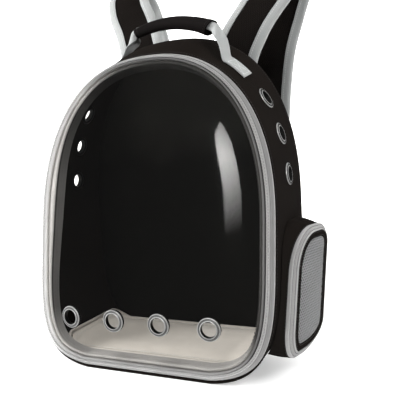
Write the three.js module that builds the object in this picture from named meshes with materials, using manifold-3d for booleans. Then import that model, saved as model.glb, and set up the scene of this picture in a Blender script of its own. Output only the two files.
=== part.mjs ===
// Pet carrier backpack: a stiff arched fabric body with a clear domed window in front, a padded back,
// ringed vents, a zipped mesh pocket on each side, a rolled top handle and two padded shoulder straps.
// Millimetres, +Z up; the window faces -Y, the wearer's back is on the +Y side and their right is +X.
// The origin is the middle of the flat base.
import * as THREE from 'three';
import { mergeVertices } from 'three/addons/utils/BufferGeometryUtils.js';
import Module from 'manifold-3d';

const wasm = await Module();
wasm.setup();

// Driving dimensions
const gap = 0.3; // clearance between neighbouring pieces

const body = {
  halfWidth: 161,
  frontHeight: 385,
  backHeight: 420,
  depth: 160, // from the front edge of the base to the back edge
  lean: 8, // degrees that the front leans back
  widestAt: 180, // height of the widest section
  topPower: 2.31, // roundness of the arch
  basePower: 4.6, // squareness of the base corners
  baseFlat: 2, // depth of outline planed off for the flat base
  backNarrowing: 0.985,
  wall: 3,
  steps: 52, // facets round the outline
};

// Zip band round the window, by the way that the edge faces
const zipBand = {
  top: { inset: 0.4, width: 8, outerHeight: 1.5, innerHeight: 8 },
  side: { inset: 0.4, width: 13, outerHeight: 3, innerHeight: 5.5 },
  base: { inset: 3.2, width: 10, outerHeight: 2, innerHeight: 6 },
};

// Face of the zip band: share of its width, share of the rise to its inner height, and height added
const zipFace = [
  { across: 0, rise: 0, lift: 0 },
  { across: 0.3, rise: 0.6, lift: 1 },
  { across: 0.75, rise: 1, lift: 0.6 },
  { across: 1, rise: 1, lift: -0.8 },
];

const trim = { width: 4, depth: 10 };

const dome = { thickness: 1.2, bulge: 32, rimDrop: 1.5, centreHeight: 190, power: 3, fullness: 0.55 };
const domeRings = [1, 0.985, 0.94, 0.84, 0.66, 0.4]; // shares of the way from the centre to the rim

const backPad = { inner: 68, outer: 86, bevel: 12, softEdge: 1.6 };

const floorPad = { front: -64, top: 20, edge: 7, edgeLift: 30, sideRoom: 1, cornerRadius: 18, lobes: 10 };
const floorPadCorner = [0, 0.3, 0.65, 1]; // shares of the turn round a plan corner

const eyelet = {
  holeRadius: 10.5,
  barrelRadius: 9.8,
  innerRadius: 9,
  flangeRadius: 13.5,
  flange: 1.5,
  outerClearance: 0.5,
  drillLength: 24,
  facets: 12,
};

// Vents in the sides, by height and share of the depth, and in the window, by place across
const sideVents = [
  { height: 325, place: 0.51 },
  { height: 281, place: 0.53 },
  { height: 232, place: 0.54 },
];
const sideVentClearance = 1.1; // inside a curved wall, under the eyelet's inner flange
const windowVents = { height: 69.5, clearance: 1.8, across: [-92.4, -30.6, 30.6, 92.4] };

const handle = { y: 45, gripRadius: 8, gripReach: 56, gripEnd: 427, gripTop: 438, facets: 10, steps: 10 };
const handleTape = { front: -0.5, rear: 29.5, thickness: 2, landing: 86.5, sewnEnd: 112, landingSteps: 5 };
// Free stretch of the handle tape from the grip down to the body: its front and rear edges
const handleTapeFree = [
  { front: [56.8, 38, 426.6], rear: [56.8, 52, 426.6] },
  { front: [66, 29.5, 415], rear: [66.5, 49, 421.5] },
  { front: [75.5, 17, 398.5], rear: [76, 43, 408.5] },
  { front: [82, 6, 386], rear: [82.2, 36, 397] },
];

const strap = { shoulder: 15.2, bodyHalf: 21.7, half: 34.6, thickness: 11, edge: 9, steps: 22 };
// Middle line of the right shoulder strap, from the seam on the back to its lower end
const strapLine = [
  { out: 65, back: 92.4, up: 362 },
  { out: 68, back: 92.6, up: 388 },
  { out: 81, back: 102, up: 422 },
  { out: 99, back: 120.5, up: 458 },
  { out: 119, back: 138, up: 490 },
  { out: 129, back: 155, up: 514 },
  { out: 132, back: 172.5, up: 519 },
  { out: 127.5, back: 184.5, up: 503.5 },
  { out: 114, back: 183, up: 460 },
  { out: 100.5, back: 175.5, up: 410 },
  { out: 94, back: 168, up: 356 },
  { out: 91.2, back: 158, up: 300 },
  { out: 87, back: 145, up: 250 },
];
const adjuster = { half: 18, thickness: 6 };
const adjusterLine = [
  { out: 86.9, back: 144.8, up: 249.4 },
  { out: 85.2, back: 138.6, up: 225 },
];
const strapTape = { half: 12.5, thickness: 2, steps: 14 };
// Webbing from the adjuster to the lower corner of the back
const strapTapeLine = [
  { out: 85.2, back: 138.4, up: 224.4 },
  { out: 84.4, back: 135.3, up: 212 },
  { out: 87, back: 127.5, up: 178 },
  { out: 93, back: 116, up: 138 },
  { out: 100, back: 103.5, up: 98 },
  { out: 106, back: 92.5, up: 66 },
  { out: 108, back: 87.6, up: 50 },
  { out: 108, back: 87.5, up: 34 },
];

// Side pocket: a wedge whose face is nearer the body in front than at the rear
const pocket = {
  lean: 10.5, // degrees that the outline leans back
  seat: 0.6, // stand-off of the wall's foot from the curved side
  wall: 2,
  bevel: 7.5,
  zipWidth: 7.5,
  zipCrown: 0.6,
  edgeDepth: 2.5, // of the zip band's two edges and of the border
  borderWidth: 7.2,
  panel: 1.8,
  crown: 1.2,
  crownInset: 24,
  leastCorner: 8,
  cornerSteps: 4,
  edgeSteps: 3,
};
// Corners are listed low front, low rear, high rear and high front
const pocketFace = {
  front: -36,
  frontOut: 173,
  rear: 47.5,
  rearOut: 195.5,
  low: 22,
  high: 169.5,
  rounding: [
    { along: 20, up: 34 },
    { along: 50, up: 32 },
    { along: 25, up: 26 },
    { along: 44, up: 48 },
  ],
};
const pocketFoot = {
  front: -44,
  rear: 52.5,
  low: 26,
  high: 177,
  rounding: [
    { along: 22, up: 36 },
    { along: 48, up: 38 },
    { along: 22, up: 24 },
    { along: 36, up: 40 },
  ],
};

// Finishes
const finish = (color, roughness, metalness = 0) =>
  new THREE.MeshStandardMaterial({ color, roughness, metalness });
const blackFabric = finish(0x231f1d, 0.9);
const blackPadding = finish(0x262423, 0.9);
const greyZip = finish(0xbebebc, 0.7);
const greyTrim = finish(0x8f908e, 0.6);
const paleTape = finish(0xd2d5d4, 0.8);
const greyMesh = finish(0x96989a, 0.8);
const padFabric = finish(0xb9b4af, 0.9);
const steel = finish(0xb8b8b6, 0.3, 1);
const blackPlastic = finish(0x1c1c1d, 0.5);
const clearSheet = new THREE.MeshStandardMaterial({
  color: 0xf4f7f8,
  roughness: 0.08,
  transparent: true,
  opacity: 0.2,
});

const carrier = new THREE.Group();

function addPiece(name, geometry, material) {
  const mesh = new THREE.Mesh(geometry, material);
  mesh.name = name;
  carrier.add(mesh);
}

// Meshes

function signedVolume(positions, triangles) {
  const corner = (index) => new THREE.Vector3().fromArray(positions, 3 * index);
  let volume = 0;
  for (let i = 0; i < triangles.length; i += 3) {
    const [a, b, c] = [0, 1, 2].map((k) => corner(triangles[i + k]));
    volume += a.dot(b.cross(c)) / 6;
  }
  return volume;
}

// A closed mesh with its faces turned outwards, whichever way the triangles were listed
function closedMesh(points, triangles) {
  const positions = points.flatMap((point) => point.toArray());
  const outwards = signedVolume(positions, triangles) > 0;
  const geometry = new THREE.BufferGeometry();
  geometry.setAttribute('position', new THREE.Float32BufferAttribute(positions, 3));
  geometry.setIndex(outwards ? triangles : triangles.toReversed());
  return geometry;
}

function joinRings(triangles, first, second, count) {
  for (let j = 0; j < count; j += 1) {
    const next = (j + 1) % count;
    triangles.push(first + j, first + next, second + next);
    triangles.push(first + j, second + next, second + j);
  }
}

// A solid through sections with equal numbers of points: a loop runs back to its first section,
// and any other has its two ends closed by fans
function loft(sections, loop = false) {
  const count = sections[0].length;
  const points = sections.flat();
  const triangles = [];
  const joins = loop ? sections.length : sections.length - 1;
  for (let i = 0; i < joins; i += 1) {
    joinRings(triangles, i * count, ((i + 1) % sections.length) * count, count);
  }
  if (!loop) {
    const lastStart = (sections.length - 1) * count;
    const middle = (section) =>
      section.reduce((sum, point) => sum.add(point), new THREE.Vector3()).divideScalar(count);
    const firstMiddle = points.push(middle(sections[0])) - 1;
    const lastMiddle = points.push(middle(sections.at(-1))) - 1;
    for (let j = 0; j < count; j += 1) {
      const next = (j + 1) % count;
      triangles.push(firstMiddle, next, j);
      triangles.push(lastMiddle, lastStart + j, lastStart + next);
    }
  }
  return closedMesh(points, triangles);
}

function toSolid(geometry) {
  geometry.deleteAttribute('normal');
  geometry.deleteAttribute('uv');
  const merged = mergeVertices(geometry);
  const mesh = new wasm.Mesh({
    numProp: 3,
    vertProperties: new Float32Array(merged.attributes.position.array),
    triVerts: new Uint32Array(merged.index.array),
  });
  return new wasm.Manifold(mesh);
}

function toGeometry(solid) {
  const { vertProperties, triVerts } = solid.getMesh();
  const geometry = new THREE.BufferGeometry();
  geometry.setAttribute('position', new THREE.Float32BufferAttribute(vertProperties, 3));
  geometry.setIndex([...triVerts]);
  return geometry;
}

function turnTo(direction) {
  return new THREE.Quaternion().setFromUnitVectors(new THREE.Vector3(0, 1, 0), direction);
}

// A wall with a round hole at each place in the list
function pierce(geometry, places) {
  const { holeRadius, drillLength, facets } = eyelet;
  let wall = toSolid(geometry);
  for (const { point, normal } of places) {
    const drill = new THREE.CylinderGeometry(holeRadius, holeRadius, drillLength, facets);
    drill.applyQuaternion(turnTo(normal)).translate(...point.toArray());
    wall = wall.subtract(toSolid(drill));
  }
  return toGeometry(wall);
}

// Body outline

const leanAngle = THREE.MathUtils.degToRad(body.lean);
const forward = new THREE.Vector3(0, -Math.cos(leanAngle), Math.sin(leanAngle));
const frontY = (z) => -body.depth / 2 + Math.tan(leanAngle) * z;

// Arched outline, anticlockwise from the wearer's right, with a planed base
function outline(angle, wide = 1, tall = 1) {
  const across = Math.cos(angle);
  const up = Math.sin(angle);
  const power = up >= 0 ? body.topPower : body.basePower;
  const rise = Math.abs(up) ** (2 / power);
  const x = Math.sign(across) * body.halfWidth * Math.abs(across) ** (2 / power);
  if (up >= 0) {
    const z = body.widestAt + (body.frontHeight - body.widestAt) * rise;
    return new THREE.Vector2(x * wide, z * tall);
  }
  const planed = Math.max(0, body.widestAt * (1 - rise) - body.baseFlat);
  const z = (planed * body.widestAt) / (body.widestAt - body.baseFlat);
  return new THREE.Vector2(x * wide, z * tall);
}

function outlineNormal(angle, wide = 1, tall = 1) {
  const step = 0.004;
  const along = outline(angle + step, wide, tall).sub(outline(angle - step, wide, tall)).normalize();
  return new THREE.Vector2(along.y, -along.x);
}

function edgePoint(angle, atBack, inset) {
  const wide = atBack ? body.backNarrowing : 1;
  const tall = atBack ? body.backHeight / body.frontHeight : 1;
  const here = outline(angle, wide, tall).addScaledVector(outlineNormal(angle, wide, tall), -inset);
  return new THREE.Vector3(here.x, atBack ? body.depth / 2 : frontY(here.y), here.y);
}

// Point of the body's side at a share of the depth, 0 in front and 1 at the back
function bodyPoint(angle, place, inset) {
  return edgePoint(angle, false, inset).lerp(edgePoint(angle, true, inset), place);
}

// Point of the body's side in the upright plane at y
function ringPoint(angle, y, inset) {
  const front = edgePoint(angle, false, inset);
  const back = edgePoint(angle, true, inset);
  return front.lerp(back, (y - front.y) / (back.y - front.y));
}

function bisect(low, high, below) {
  const halvings = 40;
  let [start, end] = [low, high];
  for (let i = 0; i < halvings; i += 1) {
    const middle = (start + end) / 2;
    if (below(middle)) start = middle;
    else end = middle;
  }
  return (start + end) / 2;
}

// Angles that space points evenly along the outline
function evenAngles(count) {
  const fine = 2880;
  const angles = Array.from({ length: fine + 1 }, (_, i) => (2 * Math.PI * i) / fine);
  const reached = [0];
  for (let i = 1; i <= fine; i += 1) {
    reached.push(reached[i - 1] + outline(angles[i]).distanceTo(outline(angles[i - 1])));
  }
  return Array.from({ length: count }, (_, k) => {
    const target = (reached[fine] * k) / count;
    return angles[reached.findIndex((length) => length >= target)];
  });
}

const angles = evenAngles(body.steps);
const quarter = Math.PI / 2;

function surfaceFrame(angle, place) {
  const step = 0.02;
  const point = bodyPoint(angle, place, 0);
  const round = bodyPoint(angle + step, place, 0).sub(bodyPoint(angle - step, place, 0));
  const through = bodyPoint(angle, 1, 0).sub(bodyPoint(angle, 0, 0));
  return { point, normal: round.cross(through).normalize().negate() };
}

const mirrored = (vector) => new THREE.Vector3(-vector.x, vector.y, vector.z);

// Eyelet through a wall, its axis along +Y and its outer face at the wall's outer surface
function eyeletGeometry(wall, innerClearance) {
  const { barrelRadius, innerRadius, flangeRadius, flange, outerClearance, facets } = eyelet;
  const low = -wall - innerClearance;
  const profile = [
    [innerRadius, low - flange],
    [flangeRadius, low],
    [barrelRadius, low],
    [barrelRadius, outerClearance],
    [flangeRadius, outerClearance],
    [innerRadius, outerClearance + flange],
    [innerRadius, low - flange],
  ].map(([radius, height]) => new THREE.Vector2(radius, height));
  const lathe = new THREE.LatheGeometry(profile, facets);
  lathe.deleteAttribute('normal');
  lathe.deleteAttribute('uv');
  const merged = mergeVertices(lathe);
  const points = Array.from({ length: merged.attributes.position.count }, (_, i) =>
    new THREE.Vector3().fromBufferAttribute(merged.attributes.position, i),
  );
  return closedMesh(points, [...merged.index.array]);
}

function addEyelet(name, wall, innerClearance, { point, normal }) {
  const geometry = eyeletGeometry(wall, innerClearance);
  geometry.applyQuaternion(turnTo(normal)).translate(...point.toArray());
  addPiece(name, geometry, steel);
}

// Side wall: one band round the sides, top and base
function addGusset() {
  const places = [0, 0.5, 1];
  const sections = angles.map((angle) => [
    ...places.map((place) => bodyPoint(angle, place, 0)),
    ...places.toReversed().map((place) => bodyPoint(angle, place, body.wall)),
  ]);
  const vents = sideVents.map(({ height, place }) => {
    const angle = bisect(0, quarter, (guess) => bodyPoint(guess, place, 0).z < height);
    return surfaceFrame(angle, place);
  });
  const mirror = ({ point, normal }) => ({ point: mirrored(point), normal: mirrored(normal) });
  const bothSides = [...vents, ...vents.map(mirror)];
  addPiece('side_gusset', pierce(loft(sections, true), bothSides), blackFabric);
  vents.forEach((vent, i) => {
    addEyelet(`side_grommet_right_${i + 1}`, body.wall, sideVentClearance, vent);
    addEyelet(`side_grommet_left_${i + 1}`, body.wall, sideVentClearance, mirror(vent));
  });
}

// Zip band size where the edge faces a given way
function bandAt(angle) {
  const up = outlineNormal(angle).y;
  const end = up > 0 ? zipBand.top : zipBand.base;
  const blend = (key) => THREE.MathUtils.lerp(zipBand.side[key], end[key], up * up);
  return {
    inset: blend('inset'),
    width: blend('width'),
    outerHeight: blend('outerHeight'),
    innerHeight: blend('innerHeight'),
  };
}

const frontPoint = (angle, inset, height) => edgePoint(angle, false, inset).addScaledVector(forward, height);

function addFrontZip() {
  const sections = angles.map((angle) => {
    const { inset, width, outerHeight, innerHeight } = bandAt(angle);
    const face = zipFace.map(({ across, rise, lift }) => {
      const height = THREE.MathUtils.lerp(outerHeight, innerHeight, rise) + lift;
      return frontPoint(angle, inset + across * width, height);
    });
    return [frontPoint(angle, inset, gap), ...face, frontPoint(angle, inset + width, gap)];
  });
  addPiece('front_zip', loft(sections, true), greyZip);
}

const rimInset = (band) => band.inset + band.width + gap;
const rimHeight = (band) => band.innerHeight - dome.rimDrop;

function addWindowTrim() {
  const sections = angles.map((angle) => {
    const band = bandAt(angle);
    const outer = rimInset(band);
    const high = rimHeight(band) - dome.thickness - gap;
    return [
      frontPoint(angle, outer, -trim.depth),
      frontPoint(angle, outer, high),
      frontPoint(angle, outer + trim.width, high),
      frontPoint(angle, outer + trim.width, -trim.depth),
    ];
  });
  addPiece('window_trim', loft(sections, true), greyTrim);
}

// Point of the dome at a share of the way from the centre to the rim; depth is below the outer surface
function domePoint(angle, share, depth) {
  const band = bandAt(angle);
  const rim = edgePoint(angle, false, rimInset(band));
  const centre = new THREE.Vector3(0, frontY(dome.centreHeight), dome.centreHeight);
  const reach = rim.distanceTo(centre);
  const swell = (1 - share ** dome.power) ** dome.fullness;
  const height = THREE.MathUtils.lerp(rimHeight(band), dome.bulge, swell) - depth;
  const inward = share * (1 - depth / reach);
  return centre.lerp(rim, inward).addScaledVector(forward, height);
}

function domeFrame(across, height) {
  const centre = new THREE.Vector2(0, dome.centreHeight);
  const toward = new THREE.Vector2(across, height).sub(centre);
  const bearing = (point) => Math.atan2(point.y - centre.y, point.x - centre.x);
  const [low, high] = across > 0 ? [-quarter, 0] : [-quarter, -2 * quarter];
  const aim = Math.atan2(toward.y, toward.x);
  const angle = bisect(low, high, (guess) => {
    const rim = edgePoint(guess, false, rimInset(bandAt(guess)));
    const seen = bearing(new THREE.Vector2(rim.x, rim.z));
    return across > 0 ? seen < aim : seen > aim;
  });
  const share = bisect(0, 1, (guess) => domePoint(angle, guess, 0).z > height);
  const step = 0.06;
  const round = domePoint(angle + step, share, 0).sub(domePoint(angle - step, share, 0));
  const outwards = domePoint(angle, share + step, 0).sub(domePoint(angle, share - step, 0));
  return { point: domePoint(angle, share, 0), normal: outwards.cross(round).normalize() };
}

// Clear dome: two skins of rings about the centre, joined at the rim
function addWindow() {
  const count = angles.length;
  const points = [];
  const triangles = [];
  const skins = [0, dome.thickness].map((depth) => {
    const start = points.length;
    domeRings.forEach((share) => points.push(...angles.map((angle) => domePoint(angle, share, depth))));
    const middle = points.push(domePoint(0, 0, depth)) - 1;
    return { start, middle };
  });
  const [outer, inner] = skins;
  const lastRing = (domeRings.length - 1) * count;
  domeRings.slice(1).forEach((_, i) => {
    joinRings(triangles, outer.start + i * count, outer.start + (i + 1) * count, count);
    joinRings(triangles, inner.start + (i + 1) * count, inner.start + i * count, count);
  });
  for (let j = 0; j < count; j += 1) {
    const next = (j + 1) % count;
    triangles.push(outer.start + lastRing + j, outer.start + lastRing + next, outer.middle);
    triangles.push(inner.start + lastRing + next, inner.start + lastRing + j, inner.middle);
  }
  joinRings(triangles, inner.start, outer.start, count);
  const vents = windowVents.across.map((across) => domeFrame(across, windowVents.height));
  addPiece('window', pierce(closedMesh(points, triangles), vents), clearSheet);
  const { clearance } = windowVents;
  vents.forEach((vent, i) => addEyelet(`window_grommet_${i + 1}`, dome.thickness, clearance, vent));
}

// Padded back, set inside the side wall with its outer face standing proud
function addBackPanel() {
  const { inner, outer, bevel, softEdge } = backPad;
  const fitted = body.wall + gap;
  const rows = [
    { y: inner, inset: fitted + softEdge },
    { y: inner + softEdge, inset: fitted },
    { y: body.depth / 2, inset: fitted },
    { y: outer - softEdge, inset: fitted + bevel / 3 },
    { y: outer, inset: fitted + bevel },
  ];
  const sections = rows.map(({ y, inset }) =>
    angles.map((angle) => {
      const point = ringPoint(angle, Math.min(y, body.depth / 2), inset);
      return point.setY(y);
    }),
  );
  addPiece('back_panel', loft(sections), blackPadding);
}

// Height of the inside of the base at a place across it
function baseInside(x) {
  const half = (body.halfWidth - body.wall) * body.backNarrowing - floorPad.sideRoom;
  const share = Math.min(1, Math.abs(x) / half);
  const curve = 1 - (1 - share ** body.basePower) ** (1 / body.basePower);
  const tall = body.backHeight / body.frontHeight;
  return body.wall + gap + Math.max(0, body.widestAt * curve) * tall;
}

// Cushion on the base, its underside fitted to the rounded corners and its plan corners rounded
function addFloorPad() {
  const { front, top, edge, edgeLift, cornerRadius, lobes } = floorPad;
  const rear = backPad.inner - gap;
  const half = bisect(0, body.halfWidth, (x) => baseInside(x) < edgeLift);
  const corner = floorPadCorner.map((share) => ({
    from: cornerRadius * (1 - Math.cos(share * quarter)),
    lost: cornerRadius * (1 - Math.sin(share * quarter)),
  }));
  const rows = [
    ...corner.map(({ from, lost }) => ({ y: front + from, half: half - lost })),
    ...corner.toReversed().map(({ from, lost }) => ({ y: rear - from, half: half - lost })),
  ];
  const across = Array.from({ length: lobes + 1 }, (_, i) => (2 * i) / lobes - 1);
  const sections = rows.map((row) => [
    ...across.map((share) => {
      const x = share * row.half;
      return new THREE.Vector3(x, row.y, baseInside(x));
    }),
    ...across.toReversed().map((share) => {
      const x = share * row.half;
      return new THREE.Vector3(x, row.y, Math.max(top, baseInside(x) + edge));
    }),
  ]);
  addPiece('floor_pad', loft(sections), padFabric);
}

// A solid swept along a line; the section's points are given across and through the line
function sweep(curve, section, steps, acrossAxis) {
  const sections = Array.from({ length: steps + 1 }, (_, i) => {
    const point = curve.getPointAt(i / steps);
    const along = curve.getTangentAt(i / steps);
    const across = acrossAxis.clone().addScaledVector(along, -acrossAxis.dot(along)).normalize();
    const through = along.clone().cross(across);
    return section.map(([u, v]) => point.clone().addScaledVector(across, u).addScaledVector(through, v));
  });
  return loft(sections);
}

// A flat tape between two edge lines
function tape(edges, thickness) {
  const middles = edges.map(([near, far]) => near.clone().lerp(far, 0.5));
  const sections = edges.map(([near, far], i) => {
    const before = middles[Math.max(0, i - 1)];
    const after = middles[Math.min(middles.length - 1, i + 1)];
    const through = after.clone().sub(before).cross(far.clone().sub(near)).normalize();
    const half = thickness / 2;
    return [
      near.clone().addScaledVector(through, half),
      far.clone().addScaledVector(through, half),
      far.clone().addScaledVector(through, -half),
      near.clone().addScaledVector(through, -half),
    ];
  });
  return loft(sections);
}

const rectangle = (half, thickness) => [
  [half, -thickness / 2],
  [half, thickness / 2],
  [-half, thickness / 2],
  [-half, -thickness / 2],
];

function smoothLine(rows, side) {
  const points = rows.map(({ out, back, up }) => new THREE.Vector3(side * out, back, up));
  return new THREE.CatmullRomCurve3(points, false, 'centripetal');
}

// Rolled grip and the tape that carries it at each end
function addHandle() {
  const { y, gripRadius, gripReach, gripEnd, gripTop, facets, steps } = handle;
  const arch = new THREE.QuadraticBezierCurve3(
    new THREE.Vector3(-gripReach, y, gripEnd),
    new THREE.Vector3(0, y, 2 * gripTop - gripEnd),
    new THREE.Vector3(gripReach, y, gripEnd),
  );
  const circle = Array.from({ length: facets }, (_, i) => {
    const turn = (2 * Math.PI * i) / facets;
    return [gripRadius * Math.cos(turn), gripRadius * Math.sin(turn)];
  });
  addPiece('handle_grip', sweep(arch, circle, steps, new THREE.Vector3(0, 1, 0)), blackFabric);

  const { front, rear, thickness, landing, sewnEnd, landingSteps } = handleTape;
  const stand = thickness / 2 + 2 * gap;
  const free = handleTapeFree.map((row) => [new THREE.Vector3(...row.front), new THREE.Vector3(...row.rear)]);
  const middle = (front + rear) / 2;
  const angleAt = (x) => bisect(quarter, 0, (guess) => ringPoint(guess, middle, 0).x < x);
  const landed = Array.from({ length: landingSteps }, (_, i) => {
    const angle = angleAt(THREE.MathUtils.lerp(landing, sewnEnd, i / (landingSteps - 1)));
    return [ringPoint(angle, front, -stand), ringPoint(angle, rear, -stand)];
  });
  const right = [...free, ...landed];
  const left = right.map((pair) => pair.map(mirrored));
  addPiece('handle_webbing_right', tape(right, thickness), paleTape);
  addPiece('handle_webbing_left', tape(left, thickness), paleTape);
}

// Padded strap with a binding along each edge, a plain adjuster and webbing to the base
function addStrap(side, word) {
  const { shoulder, bodyHalf, half, thickness, edge, steps } = strap;
  const line = smoothLine(strapLine, side);
  const acrossAxis = new THREE.Vector3(side, 0, 0);
  const padSection = [
    [bodyHalf, -edge / 2],
    [bodyHalf, edge / 2],
    [shoulder, thickness / 2],
    [-shoulder, thickness / 2],
    [-bodyHalf, edge / 2],
    [-bodyHalf, -edge / 2],
    [-shoulder, -thickness / 2],
    [shoulder, -thickness / 2],
  ];
  addPiece(`shoulder_strap_${word}`, sweep(line, padSection, steps, acrossAxis), blackPadding);
  const seam = bodyHalf + 3 * gap;
  const bindingSection = [
    [seam, -edge / 2],
    [half, -edge / 4],
    [half, edge / 4],
    [seam, edge / 2],
  ];
  const flipped = bindingSection.map(([u, v]) => [-u, v]);
  addPiece(`strap_binding_${word}_outer`, sweep(line, bindingSection, steps, acrossAxis), paleTape);
  addPiece(`strap_binding_${word}_inner`, sweep(line, flipped, steps, acrossAxis), paleTape);
  const bar = rectangle(adjuster.half, adjuster.thickness);
  addPiece(`strap_adjuster_${word}`, sweep(smoothLine(adjusterLine, side), bar, 1, acrossAxis), blackPlastic);
  const webbing = rectangle(strapTape.half, strapTape.thickness);
  const webbingLine = smoothLine(strapTapeLine, side);
  addPiece(`strap_webbing_${word}`, sweep(webbingLine, webbing, strapTape.steps, acrossAxis), blackFabric);
}

// Outline of a pocket's face or foot, as places along the depth and heights, leaning back
function pocketOutline({ front, rear, low, high, rounding }, inset) {
  const { lean, leastCorner, cornerSteps, edgeSteps } = pocket;
  const corners = [
    { y: front + inset, z: low + inset, turnY: 1, turnZ: 1 },
    { y: rear - inset, z: low + inset, turnY: -1, turnZ: 1 },
    { y: rear - inset, z: high - inset, turnY: -1, turnZ: -1 },
    { y: front + inset, z: high - inset, turnY: 1, turnZ: -1 },
  ];
  const arcs = corners.map(({ y, z, turnY, turnZ }, k) => {
    const along = Math.max(leastCorner, rounding[k].along - inset);
    const up = Math.max(leastCorner, rounding[k].up - inset);
    return Array.from({ length: cornerSteps + 1 }, (_, i) => {
      const share = i / cornerSteps;
      const turn = (k % 2 === 1 ? share : 1 - share) * quarter;
      return new THREE.Vector2(
        y + turnY * along * (1 - Math.sin(turn)),
        z + turnZ * up * (1 - Math.cos(turn)),
      );
    });
  });
  const points = arcs.flatMap((arc, k) => {
    const nextStart = arcs[(k + 1) % arcs.length][0];
    const edge = Array.from({ length: edgeSteps - 1 }, (_, i) =>
      arc.at(-1).clone().lerp(nextStart, (i + 1) / edgeSteps),
    );
    return [...arc, ...edge];
  });
  const middle = (low + high) / 2;
  const slant = Math.tan(THREE.MathUtils.degToRad(lean));
  return points.map(({ x, y }) => new THREE.Vector2(x + slant * (y - middle), y));
}

function pocketFaceX(y) {
  const { front, rear, frontOut, rearOut } = pocketFace;
  return THREE.MathUtils.lerp(frontOut, rearOut, (y - front) / (rear - front));
}

// Distance of the body's side from the middle plane
function bodySideX(y, z) {
  const angle = bisect(-quarter, quarter, (guess) => ringPoint(guess, y, 0).z < z);
  return ringPoint(angle, y, 0).x;
}

function addPocket(side, word) {
  const { wall, seat, bevel, zipWidth, zipCrown, edgeDepth, borderWidth, panel, crown, crownInset } = pocket;
  const place = (x, y, z) => new THREE.Vector3(side * x, y, z);
  const onBody = (inset) =>
    pocketOutline(pocketFoot, inset).map(({ x: y, y: z }) => place(bodySideX(y, z) + seat, y, z));
  const onFace = (inset, height) =>
    pocketOutline(pocketFace, inset).map(({ x: y, y: z }) => place(pocketFaceX(y) + height, y, z));
  const round = (...rings) => loft(rings, true);

  const wallTop = -bevel;
  const wallRings = [onBody(0), onFace(0, wallTop), onFace(wall, wallTop), onBody(wall)];
  addPiece(`pocket_wall_${word}`, round(...wallRings), blackFabric);

  const zipFoot = wallTop + gap;
  const zipRings = [
    onFace(0, zipFoot),
    onFace(0, zipFoot + edgeDepth),
    onFace(zipWidth, zipCrown),
    onFace(zipWidth, -edgeDepth),
    onFace(1.5 * wall, zipFoot),
  ];
  addPiece(`pocket_zip_${word}`, round(...zipRings), greyZip);

  const borderIn = zipWidth + gap;
  const borderOut = borderIn + borderWidth;
  const borderRings = [
    onFace(borderIn, -edgeDepth),
    onFace(borderIn, gap),
    onFace(borderOut, gap),
    onFace(borderOut, -edgeDepth),
  ];
  addPiece(`pocket_border_${word}`, round(...borderRings), blackFabric);

  const meshIn = borderOut + gap;
  const meshRings = [onFace(meshIn, -panel), onFace(meshIn, 0), onFace(crownInset, crown)];
  addPiece(`pocket_mesh_${word}`, loft(meshRings), greyMesh);
}

addGusset();
addBackPanel();
addWindow();
addWindowTrim();
addFrontZip();
addFloorPad();
addHandle();
for (const [side, word] of [[1, 'right'], [-1, 'left']]) {
  addStrap(side, word);
  addPocket(side, word);
}

export default carrier;
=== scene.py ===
import math

import bmesh
import bpy
import numpy as np
from mathutils import Matrix, Vector, noise


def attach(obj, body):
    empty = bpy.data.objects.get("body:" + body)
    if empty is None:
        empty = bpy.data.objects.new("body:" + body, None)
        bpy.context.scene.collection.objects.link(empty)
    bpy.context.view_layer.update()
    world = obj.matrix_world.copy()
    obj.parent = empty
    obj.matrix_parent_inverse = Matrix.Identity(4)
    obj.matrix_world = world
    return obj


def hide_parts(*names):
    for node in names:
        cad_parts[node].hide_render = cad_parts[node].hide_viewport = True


# Looks of a carrier backpack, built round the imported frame. Shapes are worked out in millimetres
# and become metres in Shape.piece. The window faces -Y; right is +X and left is -X.
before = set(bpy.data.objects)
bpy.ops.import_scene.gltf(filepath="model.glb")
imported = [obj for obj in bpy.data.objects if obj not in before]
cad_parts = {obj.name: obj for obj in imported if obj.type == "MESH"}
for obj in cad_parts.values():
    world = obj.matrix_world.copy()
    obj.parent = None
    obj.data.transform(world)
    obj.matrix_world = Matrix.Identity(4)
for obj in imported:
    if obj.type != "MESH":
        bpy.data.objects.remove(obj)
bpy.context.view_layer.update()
scene = bpy.context.scene
mm = 0.001
gap = 0.3  # clearance between neighbouring pieces, as in the CAD
bothSides = ((1, "right"), (-1, "left"))


# Camera at the photograph's viewing angle

camera = dict(turn=24.049, tilt=5.112, roll=-2.919, distance=681.398, aim=(47.355, 0, 203.104),
              lens=48.384, sensor=36, nearest=0.02)


def placeCamera():
    turn, tilt, roll = (math.radians(camera[key]) for key in ("turn", "tilt", "roll"))
    back = Vector((math.sin(turn) * math.cos(tilt), -math.cos(turn) * math.cos(tilt), math.sin(tilt)))
    level = Vector((math.cos(turn), math.sin(turn), 0))
    rise = back.cross(level)
    right = level * math.cos(roll) + rise * math.sin(roll)
    up = rise * math.cos(roll) - level * math.sin(roll)
    lens = bpy.data.cameras.new("camera")
    lens.lens = camera["lens"]
    lens.sensor_width = camera["sensor"]
    lens.clip_start = camera["nearest"]
    eye = bpy.data.objects.new("camera", lens)
    spot = (Vector(camera["aim"]) + back * camera["distance"]) * mm
    eye.matrix_world = Matrix.Translation(spot) @ Matrix((right, up, back)).transposed().to_4x4()
    scene.collection.objects.link(eye)
    scene.camera = eye


placeCamera()
print("camera placed")


# Shader maths


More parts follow.
